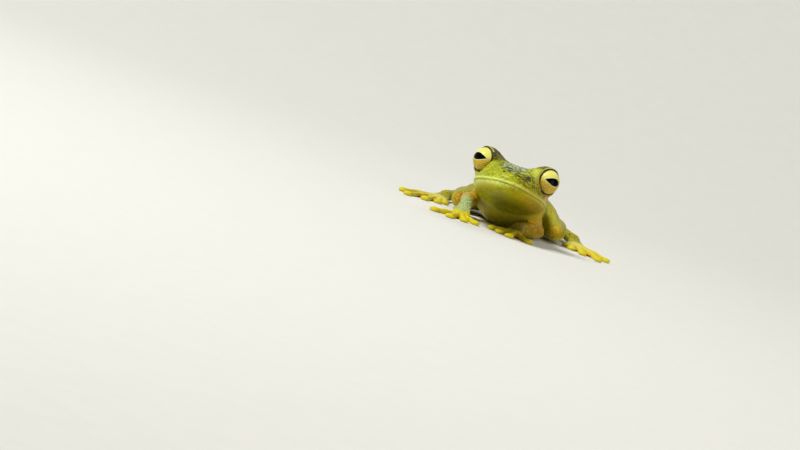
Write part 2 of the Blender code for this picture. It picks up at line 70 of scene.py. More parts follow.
LEFT_ARM = ((4.2, -10.6, 5.4), (6.6, -7.7, 1.45), (3.3, -14.4, 1.7))
RIGHT_ARM = ((-4.2, -10.6, 5.4), (-7.0, -8.2, 3.0), (-6.9, -16.0, 2.9))
LEFT_LEG = ((3.0, 9.8, 4.3), (9.6, -3.4, 2.15), (6.9, 15.2, 2.3), (12.9, 8.4, 1.05))
RIGHT_LEG = ((-3.0, 9.8, 4.3), (-8.8, -4.2, 2.15), (-7.0, 15.4, 2.3), (-12.3, 8.2, 1.05))
UPPER_ARM = (1.55, 1.5, 1.3, 1.15, 1.05)  # radii at even steps from joint to joint
FOREARM = (1.05, 1.45, 1.35, 1.1, 0.88)
THIGH = (2.6, 3.0, 2.6, 2.0, 1.55)
SHANK = (1.4, 1.95, 1.8, 1.4, 1.1)
TARSUS = (1.1, 1.0, 0.95, 0.98, 1.0)
PALM = (3.4, 1.55, 1.25)  # length, half width, height
SOLE = (4.6, 1.7, 1.25)
HAND_TURNS = {"left": math.radians(10.0), "right": math.radians(-3.0)}
FOOT_TURN = math.radians(-13.0)
DIGIT_ROOT = 0.5  # share of the palm at which the digits start
ROOT_RISE_END = 0.42
DIGIT_RADIUS = 0.52
DIGIT_SET_DOWN = 0.84  # share of its half height at which a digit's middle lies over the floor
PAD_HALF_HEIGHT = 0.42
FINGER_PAD = 0.86
TOE_PAD = 0.8
FINGERS = {  # (angle from the hand's line, bend on the way, length), the one nearest the body first
    "left": ((52.0, -12.0, 5.6), (18.0, -6.0, 6.5), (-8.0, 4.0, 8.2), (-34.0, -12.0, 7.2)),
    "right": ((46.0, -8.0, 5.6), (16.0, -4.0, 6.5), (-10.0, 4.0, 8.2), (-36.0, -12.0, 7.4)),
}
TOES = ((32.0, -14.0, 7.2), (18.0, -8.0, 9.8), (5.0, -3.0, 13.0), (-8.0, 3.0, 16.0), (-22.0, 4.0, 12.6))

VOXEL = 0.12  # spacing of the distance field from which the skin is drawn
BAND = 2.0  # distance kept on each side of a form
FIELD_LOW = np.array((-24.0, -29.5, -1.2))
FIELD_HIGH = np.array((24.0, 18.6, 15.2))
SKIN_FACES = 190000
GRAIN_HEIGHT = 0.024

# The head, in its own frame: its origin is the point between the eyes
HEAD_PROFILE = (  # Y, lip height, crown height, throat height, upper fullness
    (-8.35, -3.2, -2.5, -3.95, 2.2),
    (-8.1, -3.35, -1.95, -4.3, 2.3),
    (-7.4, -3.55, -1.35, -4.65, 2.4),
    (-6.0, -3.65, -0.85, -5.05, 2.45),
    (-4.0, -3.75, -0.25, -5.4, 2.4),
    (-1.5, -3.85, 0.35, -5.75, 2.3),
    (1.5, -3.95, 0.75, -6.0, 2.2),
    (4.5, -4.0, 0.85, -6.2, 2.2),
    (9.5, -4.0, 0.15, -6.5, 2.2),
)
CHIN_STEPS = (-8.35, -8.3, -8.2, -8.05)
PLAN_POWER = 2.15
LIP_ROLL = 0.14
BROW_CENTRE = (4.5, 0.7, 0.3)
BROW_REACH = (2.0, 3.0, 2.4)
BROW_RISE = 1.5
# Y and Z of the mouth's line from the chin to the jaw's corner
MOUTH_LINE = ((-8.6, -3.32), (-6.0, -3.65), (-3.0, -3.8), (0.5, -3.95), (3.8, -4.15))
SNOUT_RIDGE = ((4.1, -2.9), (1.7, -6.9))  # X and Y from the eye to the nostril
CORNER_PLACE = (6.9, -0.6, -2.5)  # the fleshy spot below the left eye
# Y and Z of the fold over the eardrum
FOLD_LINE = ((1.9, 1.35), (3.6, 0.35), (5.2, -0.1), (6.6, -0.9), (7.8, -2.4), (9.0, -4.2))
HIP_RIDGE = ((2.3, -1.0), (2.2, 3.0), (1.6, 7.0))  # X and Y, in the model's frame from here on
VENT_PLACE = (0.0, 14.1, 4.3)
TRUNK_PROFILE = (  # distance behind the neck, middle's height, half width, rise, drop
    (-3.0, 7.0, 5.5, 3.9, 2.9),
    (0.0, 6.8, 5.85, 3.9, 3.4),
    (4.0, 6.3, 6.25, 3.9, 4.8),
    (9.0, 5.5, 6.4, 4.0, 5.75),
    (14.0, 5.1, 5.85, 4.15, 5.4),
    (17.5, 4.9, 5.0, 4.1, 4.9),
    (21.0, 4.6, 4.2, 3.5, 4.0),
    (24.5, 4.2, 3.2, 2.5, 3.0),
    (26.6, 3.8, 2.0, 1.5, 1.8),
    (27.4, 3.6, 0.9, 0.7, 0.8),
)
DIGIT_SHAPE = (  # share of the length, half width, half height, over the plain radius
    (0.0, 1.0, 0.9),
    (0.22, 1.12, 1.0),
    (0.45, 0.9, 0.95),
    (0.6, 1.04, 1.0),
    (0.8, 0.78, 0.85),
    (1.0, 0.76, 0.8),
)
PALM_RISE = 0.44  # height of a flat palm's middle over its thickness
PALM_SHAPE = (  # share of the length, width and height over the palm's own
    (-0.12, 0.6, 1.0),
    (0.1, 0.66, 1.0),
    (0.35, 0.84, 0.9),
    (0.6, 1.0, 0.8),
    (0.85, 0.92, 0.7),
    (1.0, 0.6, 0.55),
)
PUPIL_SHIFT = 3.0  # degrees round the eyeball
PUPIL_HALF_WIDTH = 38.0
PUPIL_HEIGHT = 15.8
HAND_WEB = (0.6, 0.34)  # share of the digits that the web reaches, depth of its edge's hollow
FOOT_WEB = (0.84, 0.24)

PICTURE_SIZE = (800, 450)
EYES_IN_PICTURE = (516.2, 170.9)  # where the point between the eyes shows
SENSOR_WIDTH = 36.0
AIM = (0.0, -0.012, 0.008)
LIGHTS = (  # name, place, size, power, tint
    ("key", (-0.32, -0.26, 0.52), 0.24, 3.9, (1.0, 0.99, 0.95)),
    ("fill", (0.5, -0.4, 0.1), 0.4, 0.9, (1.0, 0.9, 0.7)),
    ("rim", (0.22, 0.24, 0.4), 0.25, 0.4, (1.0, 1.0, 0.98)),
)
FLOOR_FRONT = -1.5
FLOOR_HALF_WIDTH = 2.5
BEND_START = 0.1
BEND_RADIUS = 0.4
WALL_TOP = 1.6


def srgb(red, green, blue):
    """The linear colour of a screen colour from 0 to 255, with an alpha of 1."""
    share = np.array((red, green, blue)) / 255.0
    linear = np.where(share <= 0.04045, share / 12.92, ((share + 0.055) / 1.055) ** 2.4)
    return (*(float(value) for value in linear), 1.0)


def colour(label, use, red, green, blue):
    tint = srgb(red, green, blue)
    return bpy.props.FloatVectorProperty(
        name=label, description=use, subtype="COLOR", size=4, min=0.0, max=1.0, default=tint
    )


def length(label, use, default):
    return bpy.props.FloatProperty(name=label, description=use, default=default, unit="LENGTH")


def angle(label, use, degrees):
    default = math.radians(degrees)
    return bpy.props.FloatProperty(name=label, description=use, default=default, subtype="ANGLE")


class FrogSizes(bpy.types.PropertyGroup):
    """Sizes that a user would change."""

    eye_radius: length("Eye radius", "Radius of each eyeball", 2.3 * MM)
    eye_side: angle("Eye outward turn", "How far each eye's axis turns out from straight ahead", 34.0)
    eye_up: angle("Eye upward turn", "How far each eye's axis lifts above the head's level", 4.0)
    lid_radius: length("Lid radius", "Radius of the lids' outside round the eye", 2.66 * MM)
    opening: angle("Eye opening", "Angle from the eye's axis to the margin of the lids", 71.0)
    web_thickness: length("Web thickness", "Thickness of the webs", 0.14 * MM)


class FrogColours(bpy.types.PropertyGroup):
    """Colours that a user would change."""

    lime: colour("Face", "Yellow-green of the snout and lips", 170, 178, 18)
    leaf: colour("Back", "Green of the back", 104, 148, 10)
    olive: colour("Limbs", "Olive of the arms and legs", 198, 164, 18)
    pale: colour("Belly", "Pale yellow of the belly", 220, 204, 78)
    throat: colour("Throat", "Olive yellow of the throat", 172, 170, 0)
    silver: colour("Crown", "Silvery patch on the crown", 184, 200, 148)
    brown: colour("Markings", "Dark brown spots and bars", 58, 44, 6)
    # This tint also serves as the painted highlight on the lower jaw's rim
    lip: colour("Lip line", "Pale edge of the lips", 234, 248, 128)
    gold: colour("Pads", "Yellow of the fingers and pads", 228, 212, 40)
    web: colour("Webs", "Orange-red of the webs", 240, 84, 16)
    iris_high: colour("Upper iris", "Pale gold of the iris above the pupil", 228, 224, 112)
    iris_low: colour("Lower iris", "Golden brown of the iris below the pupil", 230, 196, 66)


class StudioSettings(bpy.types.PropertyGroup):
    """Camera and light."""

    azimuth: angle("Camera side", "Turn of the view from straight in front towards the frog's left", 4.0)
    elevation: angle("Camera height", "Angle of the view above level", 5.0)
    roll: angle("Camera roll", "Clockwise lean of the picture", 19.0)
    distance: length("Camera distance", "Distance from the eyes to the camera", 0.6)
    picture_width: length("Picture width", "Width of what the picture shows at the eyes", 0.1416)


# Curves and forms, in millimetres


def through(rows, at):
    """Values between a table's rows, (place, value, ...), along cubic curves with continuous slopes."""
    table = np.array(rows, float)
    places = table[:, 0]
    at = np.clip(np.asarray(at, float), places[0], places[-1])
    span = np.clip(np.searchsorted(places, at, side="right") - 1, 0, len(places) - 2)
    width = places[span + 1] - places[span]
    t = (at - places[span]) / width
    columns = []
    for values in table[:, 1:].T:
        slopes = np.gradient(values, places)
        columns.append(
            (2 * t**3 - 3 * t**2 + 1) * values[span]
            + (t**3 - 2 * t**2 + t) * width * slopes[span]
            + (3 * t**2 - 2 * t**3) * values[span + 1]
            + (t**3 - t**2) * width * slopes[span + 1]
        )
    return columns


def ramp(value, low, high):
    """0 below low, 1 above high, and the cubic 3t^2 - 2t^3 in between."""
    t = np.clip((value - low) / (high - low), 0.0, 1.0)
    return t * t * (3 - 2 * t)


def fade(value, low, high):
    return 1 - ramp(value, low, high)


def full_turn(count):
    """Evenly spaced angles round a circle, from 0."""
    return np.linspace(0, 2 * math.pi, count, endpoint=False)


def hump(value, middle, width):
    """A soft rise to 1 at the middle: exp(-((value - middle) / width)^2)."""
    return np.exp(-(((value - middle) / width) ** 2))


def grid_faces(rows, sides, loop=False, ring=True):
    """Quads between rows of points: ring joins each row round, and loop joins the last row to the first."""
    i, j = np.meshgrid(
        np.arange(rows if loop else rows - 1), np.arange(sides if ring else sides - 1), indexing="ij"
    )
    low, high, right = i * sides, (i + 1) % rows * sides, (j + 1) % sides
    return np.stack([low + j, low + right, high + right, high + j], -1).reshape(-1, 4)


def closed_surface(rings):
    """Points, quads and end triangles of a stack of rings (rows, sides, 3) with closed ends."""
    rows, sides = rings.shape[:2]
    points = np.concatenate([rings.reshape(-1, 3), rings[:1].mean(axis=1), rings[-1:].mean(axis=1)])
    j = np.arange(sides)
    k = (j + 1) % sides
    start, end, last = rows * sides, rows * sides + 1, (rows - 1) * sides
    first_cap = np.stack([np.full(sides, start), k, j], -1)
    last_cap = np.stack([np.full(sides, end), last + j, last + k], -1)
    return points, grid_faces(rows, sides), np.concatenate([first_cap, last_cap])


def oval(angles, width, rise, drop, upper, lower):
    """Outline of one half width with its own height above and below: |cos|^(2/n) across, |sin|^(2/n) up."""
    across, up = np.cos(angles), np.sin(angles)
    power = np.where(up > 0, 2 / upper, 2 / lower)
    height = np.where(up > 0, rise, drop)
    return np.sign(across) * np.abs(across) ** power * width, np.sign(up) * np.abs(up) ** power * height


def half_width(y):
    """Half the head's width: (1 - t^n)^(1/n) from the jaw's corners to the snout, then in to the neck."""
    ahead = np.clip((JAW_WIDEST - y) / (JAW_WIDEST - SNOUT_TIP), 0, 0.992)
    behind = ramp(y, JAW_WIDEST, HEAD_END)
    widened = (1 - ahead**PLAN_POWER) ** (1 / PLAN_POWER)
    return JAW_HALF_WIDTH * widened + (NECK_HALF_WIDTH - JAW_HALF_WIDTH) * behind


def roof(x, y):
    """Height of the head's upper side."""
    lip, crown, _, power = (float(value) for value in through(HEAD_PROFILE, y))
    return lip + (crown - lip) * (1 - (x / float(half_width(y))) ** power) ** (1 / power)


def head_matrix():
    """The head's frame in the model's: pitched up and turned about the neck, with the eyes at height."""
    turn = Matrix.Rotation(HEAD_YAW, 4, "Z") @ Matrix.Rotation(-HEAD_PITCH, 4, "X")
    pivot = turn @ NECK_PIVOT
    return Matrix.Translation((-pivot.x, NECK_Y - pivot.y, EYE_HEIGHT)) @ turn


HEAD = np.array(head_matrix())


def from_head(points):
    return points @ HEAD[:3, :3].T + HEAD[:3, 3]


def to_head(points):
    return (points - HEAD[:3, 3]) @ HEAD[:3, :3]


def head_form():
    """Skull, jaws and throat: ovals of the head's profile, raised to a soft mound below each eye."""
    stations = np.concatenate([CHIN_STEPS, np.linspace(-7.85, HEAD_END, 70)])
    angles = full_turn(120)
    lip, crown, throat, fullness = (column[:, None] for column in through(HEAD_PROFILE, stations))
    across, up = oval(angles, half_width(stations)[:, None], crown - lip, lip - throat, fullness, 2.0)
    across = across + LIP_ROLL * hump(np.sin(angles), 0, 0.13) * np.sign(np.cos(angles))
    rings = np.stack([across, np.broadcast_to(stations[:, None], across.shape), up + lip], -1)
    for side in (-1, 1):
        away = (rings - np.array(BROW_CENTRE) * (side, 1, 1)) / np.array(BROW_REACH)
        share = np.exp(-0.5 * np.sum(away**2, axis=-1))[..., None]
        rings = rings + share * np.array((side * 0.2 * BROW_RISE, 0.0, BROW_RISE))
    return closed_surface(from_head(rings))


def trunk_form():
    """Chest, belly and rump: ovals of the trunk's profile, set along the back."""
    stations = np.concatenate([np.linspace(-3.0, 24.0, 90), np.linspace(24.2, 27.4, 24)])
    angles = full_turn(110)
    middle, width, rise, drop = (column[:, None] for column in through(TRUNK_PROFILE, stations))
    across, up = oval(angles, width, rise, drop, 2.1, 2.2)
    along = np.broadcast_to(NECK_Y + stations[:, None], across.shape)
    return closed_surface(np.stack([across, along, up + middle], -1))


def ball_form(centre, radii, rows=28, sides=40):
    """An ellipsoid by polar angle and turn."""
    polar = np.linspace(0.02, math.pi - 0.02, rows)[:, None]
    turn = full_turn(sides)[None, :]
    ring = (np.sin(polar) * np.cos(turn), np.sin(polar) * np.sin(turn), np.cos(polar) + 0 * turn)
    return closed_surface(np.stack(ring, -1) * np.array(radii, float) + np.array(centre, float))


def tube_form(line, wide, high, sides=28):
    """A round limb: ellipses of half width and half height across a line of points, with rounded ends."""
    line, wide, high = np.array(line, float), np.array(wide, float), np.array(high, float)
    along = np.gradient(line, axis=0)
    along /= np.linalg.norm(along, axis=1)[:, None]
    side = np.cross(along, (0.0, 0.0, 1.0))
    side /= np.linalg.norm(side, axis=1)[:, None]
    over = np.cross(side, along)
    turns = np.linspace(0.12, math.pi / 2, 7)[:-1]
    start = line[:1] - along[:1] * wide[0] * np.cos(turns)[:, None]
    end = line[-1:] + along[-1:] * wide[-1] * np.cos(turns[::-1])[:, None]
    middles = np.concatenate([start, line, end])
    more = len(turns)
    side, over = (
        np.concatenate([np.repeat(v[:1], more, 0), v, np.repeat(v[-1:], more, 0)]) for v in (side, over)
    )
    wide, high = (
        np.concatenate([v[0] * np.sin(turns), v, v[-1] * np.sin(turns[::-1])]) for v in (wide, high)
    )
    angles = full_turn(sides)
    rings = (
        middles[:, None]
        + np.cos(angles)[None, :, None] * (side * wide[:, None])[:, None]
        + np.sin(angles)[None, :, None] * (over * high[:, None])[:, None]
    )
    return closed_surface(rings)


def segment_form(start, end, radii, bow=(0, 0, 0)):
    """A stretch of limb between two joints, its radii evenly spaced along it, bowed by 4t(1 - t)."""
    steps = np.linspace(0, 1, 48)
    line = np.array(start) + np.outer(steps, np.array(end) - np.array(start))
    line = line + np.outer(4 * steps * (1 - steps), np.array(bow, float))
    (radius,) = through([(i, value) for i, value in enumerate(radii)], steps * (len(radii) - 1))
    return tube_form(line, radius, radius)


def limb_forms():
    """Every stretch of the arms and legs, with how softly it joins the body."""
    forms = []
    for shoulder, elbow, wrist in (LEFT_ARM, RIGHT_ARM):
        forms.append((segment_form(shoulder, elbow, UPPER_ARM), 1.3))
        forms.append((segment_form(elbow, wrist, FOREARM), 0.5))
    for side, (hip, knee, heel, sole) in ((1, LEFT_LEG), (-1, RIGHT_LEG)):
        forms.append((segment_form(hip, knee, THIGH, (side * 0.4, 0.3, 0)), 1.3))
        forms.append((segment_form(knee, heel, SHANK, (side * 0.5, 0, 0.1)), 0.3))
        forms.append((segment_form(heel, sole, TARSUS), 0.4))
    return forms


def heading(angle, side):
    """The level direction at an angle from -Y, positive towards the body's middle on that side."""
    return np.array((-side * math.sin(angle), -math.cos(angle), 0.0))


def digit_line(root, side, turn, angle, bend, length, shares):
    """Points along a digit: its heading turns evenly by bend, and the steps are summed."""
    fine = np.linspace(0, 1, 81)
    angles = turn + math.radians(angle) + math.radians(bend) * fine
    steps = np.stack([-side * np.sin(angles), -np.cos(angles)], axis=1) * length / 80
    places = np.vstack([(0.0, 0.0), np.cumsum((steps[1:] + steps[:-1]) / 2, axis=0)])
    return np.stack([root[axis] + np.interp(shares, fine, places[:, axis]) for axis in (0, 1)], axis=-1)


def root_rise(shares, lift):
    """Height that a digit still has over the floor on its way down from a raised palm: lift (1 - t)^2."""
    return lift * np.clip(1 - shares / ROOT_RISE_END, 0, 1) ** 2


def digit_forms(side, root, turn, angle, bend, length, pad, lift):
    """A finger or toe with its knuckles, and its round, flat pad."""
    middle = 1 - pad / length
    shares = np.linspace(0, middle, 40)
    wide, high = through(DIGIT_SHAPE, shares / middle)
    line = digit_line(root, side, turn, angle, bend, length, shares)
    height = high * DIGIT_RADIUS * DIGIT_SET_DOWN + root_rise(shares, lift)
    finger = tube_form(np.column_stack([line, height]), wide * DIGIT_RADIUS, high * DIGIT_RADIUS, 20)
    centre = (*line[-1], PAD_HALF_HEIGHT * DIGIT_SET_DOWN)
    disc = ball_form(centre, (pad, pad, PAD_HALF_HEIGHT * 1.05), 20, 28)
    return finger, disc


def palm_lift(wrist, size):
    """How far the wrist stands above its lowest place, with the palm on the floor."""
    return wrist[2] - size[2] * PALM_RISE


def palm_slope(share):
    """The share of the wrist's lift that is left at a share s of the palm's length: (1 - s)^1.4."""
    return (1 - np.clip(share, 0, 1)) ** 1.4


def palm_form(side, wrist, turn, size):
    """A palm or sole that slopes down from the wrist and widens to where the digits part."""
    length, half_wide, height = size
    shares = np.linspace(-0.12, 1.0, 30)
    wide, high = through(PALM_SHAPE, shares)
    main = heading(turn, side)
    line = np.array(wrist, float)[None, :] + main * (shares * length)[:, None]
    line[:, 2] = high * height * PALM_RISE + palm_lift(wrist, size) * palm_slope(shares)
    return tube_form(line, wide * half_wide, high * height / 2, 28)


def extremities():
    """Every hand and foot: side, start, turn, digits, size, pads' size, and its digits' root and lift."""
    for side, start, turn, digit_set, size, pad in (
        (1, LEFT_ARM[2], HAND_TURNS["left"], FINGERS["left"], PALM, FINGER_PAD),
        (-1, RIGHT_ARM[2], HAND_TURNS["right"], FINGERS["right"], PALM, FINGER_PAD),
        (1, LEFT_LEG[3], FOOT_TURN, TOES, SOLE, TOE_PAD),
        (-1, RIGHT_LEG[3], FOOT_TURN, TOES, SOLE, TOE_PAD),
    ):
        root = np.array(start, float) + heading(turn, side) * size[0] * DIGIT_ROOT
        lift = palm_lift(start, size) * palm_slope(DIGIT_ROOT)
        yield side, start, turn, digit_set, size, pad, root, lift


# The distance field that joins the forms


def smooth_least(first, second, blend):
    """The lesser of two distances, rounded where they differ by less than blend."""
    share = np.clip(0.5 + 0.5 * (second - first) / blend, 0, 1)
    return second + (first - second) * share - blend * share * (1 - share)


def smooth_most(first, second, blend):
    return -smooth_least(-first, -second, blend)


class Field:
    """Signed distances to a body on an even grid, below 0 inside."""

    def __init__(self):
        self.low = np.floor(FIELD_LOW / VOXEL).astype(int)
        size = np.ceil(FIELD_HIGH / VOXEL).astype(int) - self.low
        self.values = np.full(size, BAND, np.float32)

    def window(self, low, high):
        """The grid's part between two corners of whole steps, and the steps of its own first corner."""
        first = np.maximum(np.array(low) - self.low, 0)
        last = np.minimum(np.array(high) + 1 - self.low, self.values.shape)
        return tuple(slice(a, b) for a, b in zip(first, last)), first + self.low

    def around(self, centre, reach):
        """The window within reach of a point, and its places as three open grids in millimetres."""
        centre = np.array(centre)
        low = np.floor((centre - reach) / VOXEL).astype(int)
        high = np.ceil((centre + reach) / VOXEL).astype(int)
        cut, start = self.window(low, high)
        sizes = [part.stop - part.start for part in cut]
        return cut, np.ix_(*[(start[i] + np.arange(sizes[i])) * VOXEL for i in range(3)])

    def join(self, form, blend):
        """Adds a closed form, with a rounded crease where it meets the rest."""
        points, quads, triangles = form
        grid = openvdb.FloatGrid.createLevelSetFromPolygons(
            points.astype(np.float32),
            triangles=triangles.astype(np.uint32),
            quads=quads.astype(np.uint32),
            transform=openvdb.createLinearTransform(VOXEL),
            halfWidth=BAND / VOXEL,
        )
        low, high = (np.array(corner) for corner in grid.evalActiveVoxelBoundingBox())
        cut, start = self.window(low, high)
        block = np.empty([part.stop - part.start for part in cut], np.float32)
        grid.copyToArray(block, ijk=tuple(int(value) for value in start))
        self.values[cut] = smooth_least(self.values[cut], block, blend)

    def sample(self, points):
        """The distance at the grid's nearest place to each point."""
        index = np.rint(points / VOXEL).astype(int) - self.low
        index = np.clip(index, 0, np.array(self.values.shape) - 1)
        return self.values[index[:, 0], index[:, 1], index[:, 2]]

    def surface(self):
        """Points and quads of the surface at distance 0, facing out."""
        grid = openvdb.FloatGrid(BAND)
        grid.copyFromArray(self.values, ijk=tuple(int(value) for value in self.low))
        grid.transform = openvdb.createLinearTransform(VOXEL)
        points, quads = grid.convertToQuads(0.0)
        points, quads = points.astype(float), quads.astype(int)
        if np.sum(points[quads].mean(axis=1) * crossed(points, quads)) < 0:
            quads = quads[:, ::-1]
        return points, quads


def crossed(points, faces):
    """The crossed diagonals of quads, or sides of triangles: their normals, as long as twice their area."""
    corners = points[faces]
    return np.cross(corners[:, 2] - corners[:, 0], corners[:, 3 % faces.shape[1]] - corners[:, 1])


def point_normals(points, faces):
    """Unit normals at the points, each the sum over the faces round it."""
    total = np.zeros(points.shape)
    for axis, row in enumerate(crossed(points, faces).T):
        total[:, axis] = sum(np.bincount(column, row, len(points)) for column in faces.T)
    return total / np.maximum(np.linalg.norm(total, axis=1)[:, None], 1e-12)


# Eyes


def eye_frame(side, sizes):
    """An eye's centre, axis, outward and upward directions, in the head's frame."""
    out, up = sizes.eye_side, sizes.eye_up
    axis = np.array((side * math.sin(out) * math.cos(up), -math.cos(out) * math.cos(up), math.sin(up)))
    outward = np.array((side * math.cos(out), math.sin(out), 0.0))
    return np.array((side * EYE_SPREAD, 0.0, 0.0)), axis, outward, np.cross(outward, axis) * side * -1.0


def eye_direction(side, sizes, angle, turn):
    """Unit steps from an eye's centre, by the angle from its axis and the turn round it from outward."""
    _, axis, outward, upward = eye_frame(side, sizes)
    ring = np.cos(turn)[..., None] * outward + np.sin(turn)[..., None] * upward
    return np.cos(angle)[..., None] * axis + np.sin(angle)[..., None] * ring


def lid_angle(turn, sizes):
    """Angle from the eye's axis to the lids' margin, by the turn round it from outward through upward."""
    outer = np.maximum(np.cos(turn), 0.0) ** 1.6
    wide = np.radians(6.0) * np.cos(turn) - np.radians(2.5) * np.sin(turn)
    return sizes.opening + wide + np.radians(17.0) * outer


def carve_eye(field, side, sizes):
    """Takes the eyeball's room and the opening between the lids out of the field."""
    centre, axis, outward, upward = eye_frame(side, sizes)
    cut, places = field.around(from_head(centre), 5.2)
    away = to_head(np.stack(np.broadcast_arrays(*places), -1)) - centre
    distance = np.linalg.norm(away, axis=-1)
    ahead, across, up = away @ axis, away @ outward, away @ upward
    margin = lid_angle(np.arctan2(up, across), sizes) - 0.85 * ramp(distance, 2.5, 4.7)
    off = np.clip(margin - np.arctan2(np.hypot(across, up), ahead), -math.pi / 2, math.pi / 2)
    blend = 0.16 + 0.6 * ramp(distance, 2.8, 3.8)
    values = smooth_most(field.values[cut], (distance * np.sin(off)).astype(np.float32), blend)
    field.values[cut] = np.maximum(values, (sizes.eye_radius / MM + 0.04 - distance).astype(np.float32))


# The skin


def build_field(sizes):
    """Joins head, trunk and limbs to one body, and opens the lids. Gives it, the limbs and the digits."""
    body, limbs, digits = Field(), Field(), Field()
    body.join(trunk_form(), 0.5)
    body.join(head_form(), 2.2)
    for side in (-1, 1):
        centre, axis, _, _ = eye_frame(side, sizes)
        lid = sizes.lid_radius / MM
        body.join(ball_form(from_head(centre - axis * 0.3), (lid, lid, lid), 60, 80), 1.3)
    for form, blend in limb_forms():
        body.join(form, blend)
        limbs.join(form, 0.5)
    for side, start, turn, digit_set, size, pad, root, lift in extremities():
        palm = palm_form(side, start, turn, size)
        body.join(palm, 0.5)
        limbs.join(palm, 0.5)
        for digit in digit_set:
            for form in digit_forms(side, root, turn, *digit, pad, lift):
                body.join(form, 0.3)
                digits.join(form, 0.3)
    up = (np.arange(body.values.shape[2]) + body.low[2]) * VOXEL
    body.values = smooth_most(body.values, (0.0 - up).astype(np.float32)[None, None, :], 0.1)
    for side in (-1, 1):
        carve_eye(body, side, sizes)
    return body, limbs, digits


def distance_to(points, place):
    return np.linalg.norm(points - np.array(place), axis=-1)


def distance_to_line(across, along, line):
    """Distance of places in a plane to a broken line."""
    points, nearest = np.stack([across, along], -1), np.full(len(across), np.inf)
    for start, end in zip(np.array(line)[:-1], np.array(line)[1:]):
        span = end - start
        share = np.clip((points - start) @ span / (span @ span), 0, 1)
        nearest = np.minimum(nearest, np.linalg.norm(points - start - share[:, None] * span, axis=1))
    return nearest


def face_marks(points, normals):
    """Offsets and masks of the face, from places in the head's frame: mouth, lips, nostrils, eardrums."""
    local = to_head(points)
    facing = normals @ HEAD[:3, :3]
    x, y, z = local.T
    out, right = np.abs(x), x < 0
    on_head = ramp(-y, -8.5, -6.5)
    above = z - through(MOUTH_LINE, y)[0]
    open_part = ramp(-y, -4.3, -3.2) * on_head * (np.abs(z + 3.8) < 1.5)
    nostril = distance_to(np.stack([out, y, z], -1), (*NOSTRIL_PLACE, roof(*NOSTRIL_PLACE)))
    side_on = ramp(np.abs(facing[:, 0]), 0.3, 0.6) * (out > 4)
    ear = np.hypot(y - EARDRUM_PLACE[0], (z - EARDRUM_PLACE[1]) * 1.04)
    mouth, lips = hump(above, 0, 0.12) * open_part, hump(np.abs(above), 0.32, 0.2) * open_part
    offset = -0.17 * mouth + 0.05 * lips
    offset -= 0.3 * hump(nostril, 0, 0.24)
    offset += 0.08 * hump(nostril, 0.46, 0.18)
    offset += side_on * (0.12 * hump(ear, 1.12, 0.16) - 0.1 * fade(ear, 0.8, EARDRUM_RADIUS))
    offset += side_on * 0.16 * hump(distance_to_line(y, z, FOLD_LINE), 0, 0.38)
    offset += 0.14 * hump(distance_to_line(out, y, SNOUT_RIDGE), 0, 0.55) * ramp(facing[:, 2], 0.1, 0.6)
    lids, crown = lid_mask(local), np.hypot(x / 2.8, (y + 2.4) / 5.0)
    # The lips' pale band lies over the mouth's line on the left; on the right, the pale band under the line
    # too is a painted highlight on the lower jaw's rim
    band = np.maximum(hump(above, 0.3, 0.26), hump(above, -0.42, 0.32) * ramp(-x, -1.5, 2.5))
    masks = {
        # Painted shade along the mouth's groove
        "mouth": hump(above, -0.02, 0.1) * open_part,
        # The pale lip band, with a painted highlight on the lower jaw's rim on the frog's right
        "lip": band * ramp(-y, -5.0, -2.0) * on_head,
        # Painted shade inside each nostril's pit
        "nostril": fade(nostril, 0.16, 0.3),
        "ear": side_on * fade(ear, 0.95, 1.15),
        "throat": ramp(-above - 0.65 * ramp(-x, -1.5, 2.5), 0.15, 0.7) * ramp(-y, -7.5, -3.5),
        # Painted warm light on the frog's left side of the head, which browns the throat's and the lips'
        # tints there
        "painted_warm_light": ramp(x, -1.0, 5.5) * on_head,
        # Painted shade on the throat below the mouth's line, fading out towards the frog's right side
        "painted_throat_shading": ramp(-above, 0.9, 2.1) * ramp(x, -4.0, -1.0) * on_head,
        "crown": fade(crown, 0.25, 1.15) * ramp(z, -2.4, -1.2),
        "lids": lids * ramp(z, -1.2, 1.0) * np.where(right, 1.0, 0.5),
        "brow": lids * ramp(z - np.where(right, 0.0, 1.6), -0.3, 0.7) * ramp(-out, -5.8, -4.6),
        "mottle": snout_mottle(x, y, z),
        "warm": ramp(x, 0.6, 2.6) * ramp(-y, -1.5, 1.5) * ramp(above, 0.3, 1.0) * ramp(-z, 0.3, 1.2),
        "corner": fade(distance_to(local, CORNER_PLACE), 0.5, 1.1),
        "gleam": hump(x, 3.5, 0.8) * hump(z, 0.8, 0.7) * ramp(-y, -1.5, 0.0),
        "face": ramp(-y, -8.0, 1.0),
    }
    return offset, masks


def snout_mottle(x, y, z):
    """Dark marks in front of the crown's silvery oval and along its edge, more on the left."""
    front = fade(np.hypot((x - 0.9) / 3.8, (y + 5.4) / 2.6), 0.6, 1.05)
    edge = 0.8 * hump(np.hypot(x / 2.7, (y + 2.6) / 4.6), 0.95, 0.2)
    return np.maximum(front * ramp(z, -3.0, -1.9), edge * ramp(z, -1.6, -0.8))


def lid_mask(local):
    """1 on the bulge of each eye, fading to the head."""
    mask = np.zeros(len(local))
    for side in (-1, 1):
        distance = distance_to(local, (side * (EYE_SPREAD - 0.2), 0.25, 0.1))
        mask = np.maximum(mask, fade(distance, 2.6, 4.0))
    return mask


